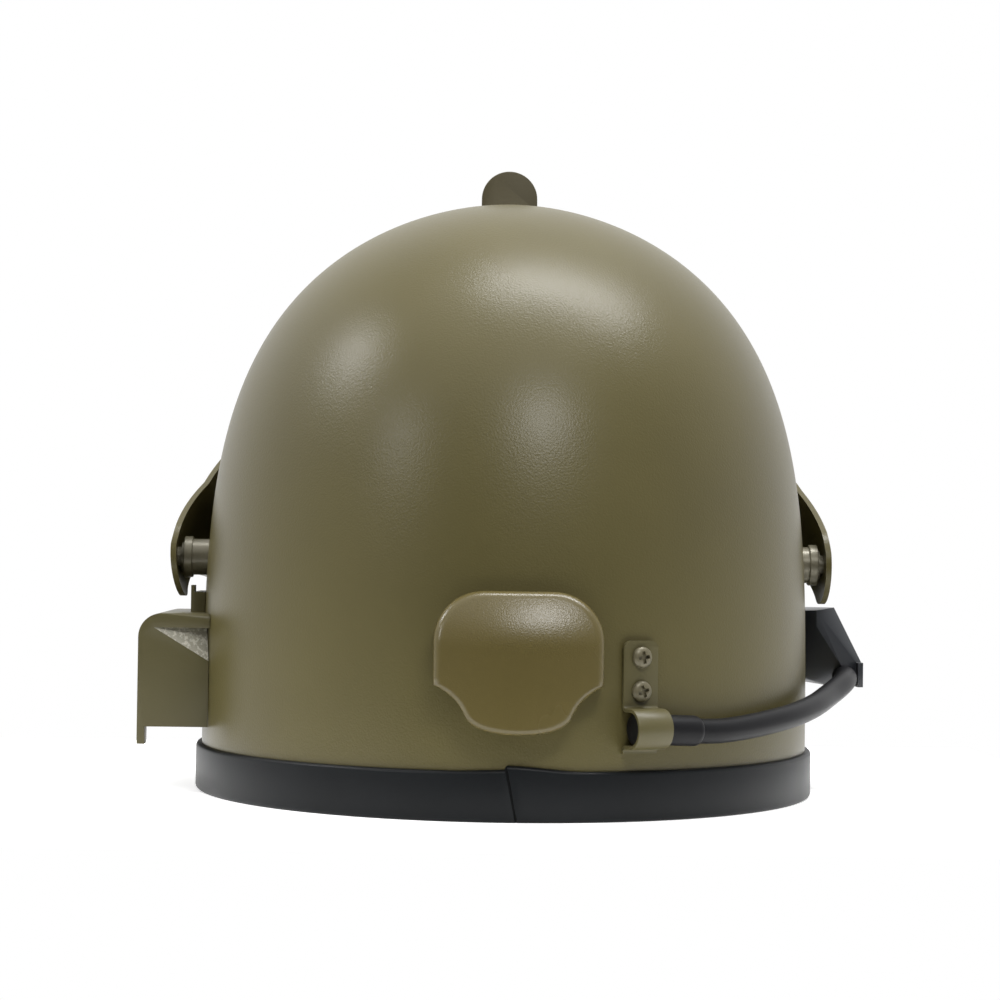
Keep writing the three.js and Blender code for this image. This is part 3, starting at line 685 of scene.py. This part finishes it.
# The sloping facet's faces take the lighter finish, which is a painted highlight.
for face in guard_form.faces:
    painted_highlight_facet = face.normal.dot(-FACET_NORMAL) > 0.995 and face.calc_center_median().y < FLANGE_BACK
    face.material_index = 1 if painted_highlight_facet else 0
finished(guard_form, "guard_sheet", guard_paint, "guard_paint", "side_guard", round_over=0.7 * MM,
         extra=(guard_painted_highlight,))

# %% [markdown]
# ## The cable housing
#
# A moulded block with flat facets. The facets are flat because it is the hull of a few corners, so
# the hull operator makes it from them. A thin fin goes down beside the cable.

# %% Cable housing
HOUSING_CORNERS = [
    (127.4, 0, 73.2), (127.4, 0, 66.7), (137.6, 0, 51), (135.5, 6, 74.4), (147, 6, 52),
    (147, 9, 42), (135, 12, 42), (116, 16, 72.2), (117, 20, 47),
    (108, 52, 71.6), (131, 52, 73.6), (142, 52, 55), (142, 52, 42), (108, 52, 45),
]
FIN_LOW = Vector((144.8, 1, 42)) * MM
FIN_HIGH = Vector((147, 12, 52)) * MM
housing_form = bmesh.new()
for corner in HOUSING_CORNERS:
    housing_form.verts.new(Vector(corner) * MM)
bmesh.ops.convex_hull(housing_form, input=housing_form.verts[:])
bmesh.ops.dissolve_limit(housing_form, angle_limit=math.radians(1), verts=housing_form.verts[:],
                         edges=housing_form.edges[:])
facing_out(housing_form)
cut(housing_form, block(FIN_LOW, FIN_HIGH), "UNION")
cut(housing_form, seat_form())
finished(housing_form, "housing_moulded", black_plastic, "black_plastic", "cable_housing",
         round_over=0.8 * MM)

# %% [markdown]
# ## The cable and its sleeve
#
# The cable is held at both ends, by the clip and by the housing. Its way is a smooth curve through a
# few places on the dome and a few beside it. A circle is carried along it, and a second, thicker one
# makes the sleeve of the first stretch.

# %% The cable's way
CLIP_ANGLE = -69
CABLE_HEIGHT = 33.2
CABLE_STANDOFF = 6.2
# Degrees round the dome, height and standoff in millimetres
ON_SHELL = [(CLIP_ANGLE - 2.4, CABLE_HEIGHT, CABLE_STANDOFF), (CLIP_ANGLE, CABLE_HEIGHT, CABLE_STANDOFF),
            (CLIP_ANGLE + 6, 32.5, CABLE_STANDOFF), (-54.4, 31.8, CABLE_STANDOFF),
            (-38.7, 34.5, 6.4), (-27, 37.2, 7.2)]
# X, Y and Z in millimetres
OFF_SHELL = [(126.8, -38, 40.6), (136, -16, 44.4), (139.2, -3, 46), (139.2, 8, 46.4)]
places = [on_shell(math.radians(angle), z * MM, out * MM) for angle, z, out in ON_SHELL]
places += [Vector(place) * MM for place in OFF_SHELL]


def smooth_way(points, per_span=24):
    """A curve through the points that never overshoots where they lie close together."""
    ends = [points[0] * 2 - points[1]] + points + [points[-1] * 2 - points[-2]]
    way = []
    for a, b, c, d in zip(ends, ends[1:], ends[2:], ends[3:]):
        t0 = 0.0
        t1 = t0 + math.sqrt((b - a).length)
        t2 = t1 + math.sqrt((c - b).length)
        t3 = t2 + math.sqrt((d - c).length)
        for i in range(per_span):
            t = t1 + (t2 - t1) * i / per_span
            ab = a * ((t1 - t) / (t1 - t0)) + b * ((t - t0) / (t1 - t0))
            bc = b * ((t2 - t) / (t2 - t1)) + c * ((t - t1) / (t2 - t1))
            cd = c * ((t3 - t) / (t3 - t2)) + d * ((t - t2) / (t3 - t2))
            abc = ab * ((t2 - t) / (t2 - t0)) + bc * ((t - t0) / (t2 - t0))
            bcd = bc * ((t3 - t) / (t3 - t1)) + cd * ((t - t1) / (t3 - t1))
            way.append(abc * ((t2 - t) / (t2 - t1)) + bcd * ((t - t1) / (t2 - t1)))
    return way + [points[-1]]


cable_way = smooth_way(places)
cable_length = sum((b - a).length for a, b in zip(cable_way, cable_way[1:]))
print("cable:", round(cable_length / MM, 1), "mm long")


# %% Carry a circle along the way
def carried(way, radii, sides=28):
    bm = bmesh.new()
    ahead = (way[1] - way[0]).normalized()
    ring = bmesh.ops.create_circle(bm, cap_ends=False, segments=sides, radius=radii[0])["verts"]
    turn = ahead.to_track_quat("Z", "Y")
    bmesh.ops.rotate(bm, verts=ring, cent=(0, 0, 0), matrix=turn.to_matrix())
    bmesh.ops.translate(bm, verts=ring, vec=way[0])
    edges = bm.edges[:]
    bmesh.ops.contextual_create(bm, geom=edges)
    for i in range(1, len(way)):
        made = bmesh.ops.extrude_edge_only(bm, edges=edges)
        ring = [item for item in made["geom"] if isinstance(item, bmesh.types.BMVert)]
        edges = [edge for edge in bm.edges if edge.verts[0] in ring and edge.verts[1] in ring]
        after = (way[min(i + 1, len(way) - 1)] - way[i - 1]).normalized()
        bmesh.ops.translate(bm, verts=ring, vec=way[i] - way[i - 1])
        grow = radii[i] / radii[i - 1]
        there = Matrix.Translation(-way[i])
        bmesh.ops.scale(bm, verts=ring, vec=(grow, grow, grow), space=there)
        bmesh.ops.rotate(bm, verts=ring, cent=way[i], matrix=ahead.rotation_difference(after).to_matrix())
        ahead = after
    bmesh.ops.contextual_create(bm, geom=edges)
    facing_out(bm)
    return bm


CABLE_RADIUS = 4.5 * MM
CABLE_END_SHARE = 0.985
SLEEVE_RADIUS = 5.5 * MM
SLEEVE_SHARE = 0.148
SLEEVE_GAP_SHARE = 0.0018
IN_SLEEVE_SHARE = 0.01


def stretch(share_from, share_to):
    """The part of the way between two shares of its length."""
    kept = []
    gone = 0.0
    for a, b in zip(cable_way, cable_way[1:]):
        if share_from <= gone / cable_length <= share_to:
            kept.append(a)
        gone += (b - a).length
    return kept


cable_part = stretch(SLEEVE_SHARE - IN_SLEEVE_SHARE, CABLE_END_SHARE)
cable_form = carried(cable_part, [CABLE_RADIUS] * len(cable_part))
finished(cable_form, "cable_sheath", cable_rubber, "cable_rubber", "cable", sharp=50)
sleeve_part = stretch(0, SLEEVE_SHARE - SLEEVE_GAP_SHARE)
sleeve_radii = [SLEEVE_RADIUS] * len(sleeve_part)
for share, ends in ((0.86, (0, -1)), (0.97, (1, -2))):
    for i in ends:
        sleeve_radii[i] = SLEEVE_RADIUS * share
sleeve_form = carried(sleeve_part, sleeve_radii)
finished(sleeve_form, "sleeve_rubber", cable_rubber, "cable_rubber", "cable_sleeve", sharp=50)

# %% [markdown]
# ## The clip and its screws
#
# The clip is a strip of sheet: a flat plate, a small bend outwards, half a turn round the sleeve and
# a short foot. The centre line of the strip is drawn with straights and turns, as it would be bent
# over a bar, and the strip is given its thickness by its section. It is made lying against a flat
# wall, then turned to its place on the dome.

# %% Clip
CLIP_WIDTH = 14 * MM
CLIP_TOP = 64.4 * MM
CLIP_SHEET = 1.3 * MM
CLIP_CLEARANCE = 0.4 * MM
CLIP_FILLET = 1.8 * MM
CLIP_FOOT = 0.6 * MM
CLIP_CORNER = 3 * MM
CLIP_EDGE = 0.25 * MM
CLIP_KEPT = 60 * MM


def to_clip_place(bm):
    """From a wall at Y 0 that faces -Y to the shell's side at the clip."""
    angle = math.radians(CLIP_ANGLE)
    normal = outward_at(angle, 0)
    turn = Matrix.Rotation(math.atan2(normal.x, -normal.y), 3, "Z")
    bmesh.ops.rotate(bm, verts=bm.verts, cent=(0, 0, 0), matrix=turn)
    shifted(bm, on_shell(angle, 0))
    return bm


loop_radius = SLEEVE_RADIUS + CLIP_CLEARANCE + CLIP_SHEET / 2
loop_centre = CABLE_STANDOFF * MM
sheet_line = SEAT_GAP + CLIP_SHEET / 2
straight_down = CLIP_TOP - CABLE_HEIGHT * MM - loop_radius - CLIP_FILLET
out_run = loop_centre - sheet_line - CLIP_FILLET
clip_half = CLIP_WIDTH / 2
clip_section = rounded_section(-CLIP_SHEET / 2, CLIP_SHEET / 2, -clip_half, clip_half, CLIP_EDGE, 2)
clip_form = drawn(clip_section, (sheet_line, CLIP_TOP), (0, -1), [
    ("straight", straight_down, 8, 0),
    ("turn", -90, 6, CLIP_FILLET),
    ("straight", out_run, 2, 0),
    ("turn", 180, 22, loop_radius),
    ("straight", out_run, 2, 0),
    ("turn", -90, 6, CLIP_FILLET),
    ("straight", CLIP_FOOT, 1, 0),
])
for vert in clip_form.verts:
    out, across, up = vert.co
    vert.co = (across, -out, up)
facing_out(clip_form)
plate_keep = [(-clip_half, CLIP_TOP - CLIP_KEPT, 0), (-clip_half, CLIP_TOP, CLIP_CORNER),
              (clip_half, CLIP_TOP, CLIP_CORNER), (clip_half, CLIP_TOP - CLIP_KEPT, 0)]
cut(clip_form, outlined(plate_keep, -CLIP_KEPT / 2, CLIP_KEPT), "INTERSECT")
to_clip_place(clip_form)
finished(clip_form, "clip_strip", guard_paint, "guard_paint", "cable_clip", sharp=35)

# %% Screws
SCREW_RADIUS = 3.8 * MM
SCREW_HEAD = 2.4 * MM
SCREW_RIM = 0.7 * MM
SCREW_BASE = SEAT_GAP + CLIP_SHEET + 0.1 * MM
SCREW_HEIGHTS = (58.5 * MM, 46.4 * MM)
SLOT_LENGTH = 4.4 * MM
SLOT_WIDTH = 1.3 * MM
SLOT_DEPTH = 1.3 * MM
PIT_RADIUS = 1.5 * MM
PIT_TIP = 0.5 * MM
PIT_PROUD = 0.1 * MM
SCREW_TURNS = (8, 20)


def screw(number, height, turn):
    profile = [(0, 0), (SCREW_RADIUS - 0.2 * MM, 0), (SCREW_RADIUS, 0.25 * MM)]
    profile += [(SCREW_RADIUS * math.cos(t) ** 0.8, SCREW_RIM + (SCREW_HEAD - SCREW_RIM) * math.sin(t))
                for t in (math.radians(90 * i / 8) for i in range(9))]
    head = spun(profile, 48)
    for cross in (0, 90):
        slot = block((-SLOT_LENGTH / 2, -SLOT_WIDTH / 2, SCREW_HEAD - SLOT_DEPTH),
                     (SLOT_LENGTH / 2, SLOT_WIDTH / 2, SCREW_HEAD * 2))
        turned(slot, cross, "Z")
        cut(head, slot)
    pit = bmesh.new()
    bmesh.ops.create_cone(pit, cap_ends=True, segments=24, radius1=PIT_TIP, radius2=PIT_RADIUS,
                          depth=SLOT_DEPTH)
    shifted(pit, (0, 0, SCREW_HEAD - SLOT_DEPTH / 2 + PIT_PROUD))
    cut(head, pit)
    bmesh.ops.remove_doubles(head, verts=head.verts, dist=0.02 * MM)
    turned(head, turn, "Z")
    turned(head, 90, "X")
    shifted(head, (0, -SCREW_BASE, height))
    return finished(to_clip_place(head), f"screw_{number}", screw_metal, "screw_metal",
                    f"clip_screw_{number}", sharp=40)


for i, (height, turn) in enumerate(zip(SCREW_HEIGHTS, SCREW_TURNS)):
    screw(i + 1, height, turn)

# %% [markdown]
# ## The crown latch
#
# A strip lies along the crown and ends in a round thumb tab that stands up at the back. The strip is
# a grid laid on the dome and given its thickness, and the tab is a disc whose lower half is squared
# down to the dome. Both are rounded before they are joined, because the short edges that a join
# leaves would hold the rounding back.

# %% Crown latch
TAB_RADIUS = 11.4 * MM
TAB_CENTRE = 240.2 * MM
TAB_Y = 8 * MM
TAB_PLATE = 2.2 * MM
LATCH_HALF_WIDTH = 9 * MM
LATCH_END = 62 * MM
LATCH_SHEET = 2 * MM
LATCH_ROUNDING = 0.35 * MM


def shell_top_at(x, y):
    share = min(math.hypot(x, y / LENGTH_RATIO) / SHELL_HALF_WIDTH, 1)
    return SHELL_HEIGHT * (1 - share ** CROWN_ROUNDNESS) ** (1 / CROWN_FULLNESS)


latch_form = bmesh.new()
bmesh.ops.create_grid(latch_form, x_segments=12, y_segments=40, size=1)
bmesh.ops.scale(latch_form, verts=latch_form.verts, vec=(LATCH_HALF_WIDTH, (LATCH_END - TAB_Y) / 2, 1))
shifted(latch_form, (0, (LATCH_END + TAB_Y) / 2, 0))
for vert in latch_form.verts:
    vert.co.z = shell_top_at(vert.co.x, vert.co.y) + SEAT_GAP + LATCH_SHEET
facing_out(latch_form)
bmesh.ops.solidify(latch_form, geom=latch_form.faces[:], thickness=LATCH_SHEET)
tab_form = bmesh.new()
bmesh.ops.create_circle(tab_form, cap_ends=True, segments=64, radius=TAB_RADIUS)
turned(tab_form, 90, "X")
shifted(tab_form, (0, TAB_Y, TAB_CENTRE))
for vert in tab_form.verts:
    if vert.co.z < TAB_CENTRE:
        vert.co.x = math.copysign(min(abs(vert.co.x) * 2, TAB_RADIUS), vert.co.x)
        vert.co.z = max(vert.co.z, shell_top_at(vert.co.x, TAB_Y) + SEAT_GAP)
bmesh.ops.remove_doubles(tab_form, verts=tab_form.verts, dist=0.01 * MM)
drawn_out(tab_form, (0, TAB_PLATE, 0))
for form in (latch_form, tab_form):
    sharp_edges = [edge for edge in form.edges if edge.calc_face_angle() > math.radians(60)]
    bmesh.ops.bevel(form, geom=sharp_edges, offset=LATCH_ROUNDING, offset_type="OFFSET", segments=3,
                    profile=0.5, affect="EDGES", material=-1, clamp_overlap=True)
cut(latch_form, tab_form, "UNION")
bmesh.ops.remove_doubles(latch_form, verts=latch_form.verts, dist=0.01 * MM)
finished(latch_form, "latch_strip", latch_paint, "latch_paint", "crown_latch", sharp=25)

# %% [markdown]
# ## The pivot studs
#
# Each stud is a turned pin: a thick neck out of the shell, a flange, and a thin end in the visor's
# ear. Its profile is spun about the upright axis with small chamfers and then laid on its side.

# %% Pivot studs
STUD_NECK = 7.3
STUD_ROOT = 118.5
# Radius and place along the axis in millimetres
STUD_STEPS = [(STUD_NECK, 126.4), (8, 126.4), (8.3, 126.7), (8.3, 129.6), (8, 129.9), (6, 129.9),
              (6, 130.8), (4, 130.8), (4, 134.4), (3.6, 134.8), (0, 134.8)]
STUD_SHORTER_RIGHT = 2.9


def stud(side, word):
    shorter = STUD_SHORTER_RIGHT if side > 0 else 0
    steps = [(0, STUD_ROOT), (STUD_NECK, STUD_ROOT)]
    steps += [(radius, along - shorter) for radius, along in STUD_STEPS]
    form = spun([(radius * MM, along * MM) for radius, along in steps], 64)
    turned(form, 90 * side, "Y")
    shifted(form, (0, 0, HINGE.z))
    return finished(form, f"stud_turned_{word}", stud_paint, "stud_paint", f"pivot_stud_{word}", sharp=35)


stud(1, "right")
stud(-1, "left")

# %% [markdown]
# ## The visor
#
# A second dome skin stands off the shell over its front half. Its gap swells round the studs, where
# its two ears turn, and shrinks evenly up the arms. The skin is spun through a little over half a
# turn, laid on the dome with its gap, and given its thickness outwards. A prism seen from the side
# then cuts the ears, the sloping arms and the tall front, and a prism from the front cuts the window.

# %% Visor plate
VISOR_GAP = 6.6 * MM
VISOR_PLATE = 2.2 * MM
VISOR_TOP = 178 * MM
SKIN_LOW = 8 * MM
SKIN_RISE = VISOR_TOP + 10 * MM
SKIN_RINGS = 90
SKIN_START = -14
SKIN_SWEEP = 208
EAR_RADIUS = 15.8 * MM
EAR_FROM = 118.4
EAR_TO = 302.4
EAR_SWELL_RIGHT = 2.9 * MM
EAR_SWELL_LEFT = 6.4 * MM
EAR_SWELL_CENTRE = (-13 * MM, 96 * MM)
EAR_SWELL_FORWARD = 60 * MM
EAR_SWELL_UP = 38 * MM
EAR_SWELL_DOWN = 24.4 * MM
PIVOT_HOLE = 4.3 * MM
CORNER_SHARE = 0.3
# Y, Z and rounding in millimetres, before and after the ear
SIDE_OUTLINE = [(260, 14, 0), (260, 178, 0), (118, 172, 30), (85, 158, 30), (44, 133.5, 40)]
SIDE_OUTLINE_BACK = [(24, 85.5, 14), (50, 82, 16), (68, 68, 20), (82, 28, 20), (96, 14, 8)]


def visor_gap(x, y, z):
    swell = EAR_SWELL_RIGHT if x > 0 else EAR_SWELL_LEFT
    forward = (y - EAR_SWELL_CENTRE[0]) / EAR_SWELL_FORWARD
    rise = z - EAR_SWELL_CENTRE[1]
    height = rise / EAR_SWELL_UP if rise > 0 else (rise / EAR_SWELL_DOWN) ** 2
    return VISOR_GAP + swell * max(0, 1 - forward * forward - height)


def side_prism():
    """The visor's outline from its side, as a prism along X."""
    bm = bmesh.new()
    ear = [(EAR_RADIUS / MM * math.cos(t), HINGE.z / MM + EAR_RADIUS / MM * math.sin(t), 0)
           for t in (math.radians(EAR_FROM + (EAR_TO - EAR_FROM) * i / 40) for i in range(41))]
    corners = SIDE_OUTLINE + ear + SIDE_OUTLINE_BACK
    verts = [bm.verts.new((-FRONT, y * MM, z * MM)) for y, z, _ in corners]
    bm.faces.new(verts)
    for vert, (_, _, rounding) in zip(verts, corners):
        if rounding:
            bmesh.ops.bevel(bm, geom=[vert], offset=rounding * CORNER_SHARE * MM, offset_type="OFFSET",
                            segments=6, profile=0.5, affect="VERTICES", material=-1, clamp_overlap=True)
    drawn_out(bm, (2 * FRONT, 0, 0))
    return bm


WINDOW_HALF_WIDTH = 72 * MM
WINDOW_LOW = 98 * MM
WINDOW_HIGH = 146 * MM
WINDOW_CORNER = 8 * MM
WINDOW_CUT_START = 60 * MM


def window_prism():
    half = WINDOW_HALF_WIDTH
    corners = [(-half, WINDOW_LOW, WINDOW_CORNER), (half, WINDOW_LOW, WINDOW_CORNER),
               (half, WINDOW_HIGH, WINDOW_CORNER), (-half, WINDOW_HIGH, WINDOW_CORNER)]
    return outlined(corners, WINDOW_CUT_START, FRONT)


skin_heights = [SKIN_LOW + SKIN_RISE * i / SKIN_RINGS for i in range(SKIN_RINGS + 1)]
visor_profile = [(half_width_at(z), z) for z in skin_heights]
visor_form = spun(visor_profile, 150, start=math.radians(SKIN_START), sweep=math.radians(SKIN_SWEEP))
lay_on_shell(visor_form, gap=visor_gap)
facing_out(visor_form)
facing = sum(face.normal.dot(face.calc_center_median()) for face in visor_form.faces)
if facing < 0:
    bmesh.ops.reverse_faces(visor_form, faces=visor_form.faces)
bmesh.ops.solidify(visor_form, geom=visor_form.faces[:], thickness=-VISOR_PLATE)
facing_out(visor_form)
cut(visor_form, side_prism(), "INTERSECT")
cut(visor_form, window_prism())
bore = bmesh.new()
bmesh.ops.create_cone(bore, cap_ends=True, segments=48, radius1=PIVOT_HOLE, radius2=PIVOT_HOLE,
                      depth=2 * FRONT)
turned(bore, 90, "Y")
shifted(bore, (0, 0, HINGE.z))
cut(visor_form, bore)
finished(visor_form, "visor_pressed", olive_paint, "visor_paint", "visor_plate", body="visor", sharp=38)

# %% Window frame and pane
FRAME_OVERHANG = 10 * MM
FRAME_LAP = 4 * MM
FRAME_THICKNESS = 3.9 * MM
FRAME_ROUNDING = 1.3 * MM
PANE_THICKNESS = 3 * MM
plate_face = VISOR_GAP + VISOR_PLATE
frame_low = plate_face + SEAT_GAP
frame_section = rounded_section(-FRAME_LAP, FRAME_OVERHANG, frame_low, frame_low + FRAME_THICKNESS,
                                FRAME_ROUNDING)
tall = WINDOW_HIGH - WINDOW_LOW - 2 * WINDOW_CORNER
wide = 2 * (WINDOW_HALF_WIDTH - WINDOW_CORNER)
half_round = [("straight", tall, 10, 0), ("turn", 90, 12, WINDOW_CORNER),
              ("straight", wide, 40, 0), ("turn", 90, 12, WINDOW_CORNER)]
frame_form = drawn(frame_section, (-WINDOW_HALF_WIDTH, WINDOW_LOW + WINDOW_CORNER), (0, 1), half_round * 2,
                   closed=True)
lay_on_front(frame_form)
facing_out(frame_form)
finished(frame_form, "frame_pressed", frame_paint, "frame_paint", "window_frame", body="visor", sharp=50)

pane_form = bmesh.new()
pane_half_width = WINDOW_HALF_WIDTH - SEAT_GAP
pane_half_height = (WINDOW_HIGH - WINDOW_LOW) / 2 - SEAT_GAP
pane_middle = (WINDOW_LOW + WINDOW_HIGH) / 2
bmesh.ops.create_grid(pane_form, x_segments=60, y_segments=16, size=1)
bmesh.ops.scale(pane_form, verts=pane_form.verts, vec=(pane_half_width, pane_half_height, 1))
turned(pane_form, 90, "X")
shifted(pane_form, (0, plate_face - PANE_THICKNESS, pane_middle))
drawn_out(pane_form, (0, PANE_THICKNESS, 0))
lay_on_front(pane_form)
facing_out(pane_form)
finished(pane_form, "pane_glass", window_glass, "window_glass", "window_pane", body="visor", sharp=50)

# %% [markdown]
# ## Floor, camera and light
#
# The helmet stands on a small white floor in a room that the camera sees as plain white. The room
# lights the helmet mostly from its front, and is dark behind the camera, so the dome's middle keeps
# its colour and its sides grow pale. The camera is 1.1 m behind the helmet, 96 mm over the floor, a
# little to the left and a little tilted, as the photograph's straight lines show. Each soft light is
# placed by the highlight it makes: a ray from the camera through that point of the picture meets
# the dome, and the light stands where the dome mirrors it.

# %% Floor
FLOOR_HALF_SIZE = 0.24
FLOOR_GLOW = 0.5
floor_form = bmesh.new()
bmesh.ops.create_grid(floor_form, x_segments=2, y_segments=2, size=FLOOR_HALF_SIZE)
floor_mesh = bpy.data.meshes.new("floor")
floor_form.to_mesh(floor_mesh)
floor_form.free()
floor = bpy.data.objects.new("floor", floor_mesh)
bpy.context.scene.collection.objects.link(floor)
floor_paint = finish_of("floor_paint", (0.88, 0.88, 0.87), 0.9, mottle=0.01, cloud=3, bump=0, specular=0.1)
floor_mesh.materials.append(floor_paint)
floor_shader = floor_paint.node_tree.nodes["Principled BSDF"]
floor_shader.inputs["Emission Color"].default_value = (1, 1, 1, 1)
floor_shader.inputs["Emission Strength"].default_value = FLOOR_GLOW
floor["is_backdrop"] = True

# %% Camera
CAMERA_DISTANCE = 1.1
CAMERA_HEIGHT = 96 * MM
CAMERA_YAW = math.radians(2)
CAMERA_ROLL = math.radians(0.8)
CAMERA_VIEW = math.radians(20.96)
SENSOR = 36
AIM_HEIGHT = 116.4 * MM
AIM_ASIDE = -2.5 * MM
behind = Vector((-math.sin(CAMERA_YAW), -math.cos(CAMERA_YAW), 0))
eye = AXIS + behind * CAMERA_DISTANCE + Vector((0, 0, CAMERA_HEIGHT))
aim = AXIS + Vector((AIM_ASIDE, 0, AIM_HEIGHT))
camera_data = bpy.data.cameras.new("camera")
camera_data.sensor_width = SENSOR
camera_data.lens = SENSOR / 2 / math.tan(CAMERA_VIEW / 2)
camera = bpy.data.objects.new("camera", camera_data)
bpy.context.scene.collection.objects.link(camera)
camera.matrix_world = (Matrix.Translation(eye) @ (aim - eye).to_track_quat("-Z", "Y").to_matrix().to_4x4()
                       @ Matrix.Rotation(CAMERA_ROLL, 4, "Z"))
bpy.context.scene.camera = camera
bpy.context.scene.view_settings.view_transform = "Standard"
print("lens:", round(camera_data.lens, 1), "mm")

# %% Lights by their highlights
IMAGE_SIZE = 1000
# Column and row of each highlight in the picture
SKY_HIGHLIGHT = (505, 330)
TOP_HIGHLIGHT = (562, 289)
KEY_HIGHLIGHT = (543, 422)
LEFT_HIGHLIGHT = (355, 356)
LOW_LEFT_HIGHLIGHT = (402, 440)
bpy.context.view_layer.update()
dome_tree = BVHTree.FromObject(shell, bpy.context.evaluated_depsgraph_get())


def ray_through(column, row):
    across = (column - IMAGE_SIZE / 2) / (IMAGE_SIZE / 2) * math.tan(CAMERA_VIEW / 2)
    down = (row - IMAGE_SIZE / 2) / (IMAGE_SIZE / 2) * math.tan(CAMERA_VIEW / 2)
    return (camera.matrix_world.to_3x3() @ Vector((across, -down, -1))).normalized()


def light_seen_at(name, highlight, distance, width, height, power, turn=0.0):
    ray = ray_through(*highlight)
    point, _, _, _ = dome_tree.ray_cast(eye, ray)
    angle = math.atan2((point.y - AXIS.y) / LENGTH_RATIO, point.x - AXIS.x)
    away = ray.reflect(outward_at(angle, point.z))
    data = bpy.data.lights.new(name, "AREA")
    data.shape = "RECTANGLE"
    data.size = width
    data.size_y = height
    data.energy = power
    lamp = bpy.data.objects.new(name, data)
    bpy.context.scene.collection.objects.link(lamp)
    place = point + away * distance
    lamp.matrix_world = (Matrix.Translation(place) @ (-away).to_track_quat("-Z", "Y").to_matrix().to_4x4()
                         @ Matrix.Rotation(math.radians(turn), 4, "Z"))
    elevation = round(math.degrees(math.asin(away.z)))
    print(name, "at", [round(value, 2) for value in place], "elevation", elevation)


light_seen_at("sky_light", SKY_HIGHLIGHT, distance=2.0, width=2.4, height=2.4, power=18)
light_seen_at("top_light", TOP_HIGHLIGHT, distance=1.6, width=1.35, height=0.38, power=28, turn=72)
light_seen_at("key_light", KEY_HIGHLIGHT, distance=0.43, width=0.15, height=0.06, power=0.85)
light_seen_at("left_light", LEFT_HIGHLIGHT, distance=1.6, width=0.22, height=0.4, power=8)
light_seen_at("low_left_light", LOW_LEFT_HIGHLIGHT, distance=1.8, width=0.25, height=0.25, power=5.2)

# %% World
world = bpy.data.worlds.new("studio")
bpy.context.scene.world = world
world.use_nodes = True
world_nodes = world.node_tree.nodes
world_links = world.node_tree.links
backdrop = world_nodes["Background"]
backdrop.inputs["Color"].default_value = (1, 1, 1, 1)
backdrop.inputs["Strength"].default_value = 1.0
room = world_nodes.new("ShaderNodeBackground")
direction = world_nodes.new("ShaderNodeTexCoord")
parts = world_nodes.new("ShaderNodeSeparateXYZ")
ramp = world_nodes.new("ShaderNodeValToRGB")
ramp.color_ramp.elements[0].position = 0.0
ramp.color_ramp.elements[0].color = (0.03, 0.03, 0.03, 1)
ramp.color_ramp.elements[1].position = 1.0
ramp.color_ramp.elements[1].color = (1.1, 1.1, 1.1, 1)
beside = ramp.color_ramp.elements.new(0.5)
beside.color = (0.75, 0.75, 0.75, 1)
shift = world_nodes.new("ShaderNodeMapRange")
shift.inputs["From Min"].default_value = -1
shift.inputs["From Max"].default_value = 1
path = world_nodes.new("ShaderNodeLightPath")
choice = world_nodes.new("ShaderNodeMixShader")
world_links.new(direction.outputs["Generated"], parts.inputs["Vector"])
world_links.new(parts.outputs["Y"], shift.inputs["Value"])
world_links.new(shift.outputs["Result"], ramp.inputs["Fac"])
world_links.new(ramp.outputs["Color"], room.inputs["Color"])
world_links.new(path.outputs["Is Camera Ray"], choice.inputs["Fac"])
world_links.new(room.outputs["Background"], choice.inputs[1])
world_links.new(backdrop.outputs["Background"], choice.inputs[2])
world_links.new(choice.outputs["Shader"], world_nodes["World Output"].inputs["Surface"])

# %% Measure and finish
visual_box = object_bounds()
for word, box in (("cad", cad_box), ("visual", visual_box)):
    print(word, "box in mm:", [[round(value / MM, 1) for value in corner] for corner in box])
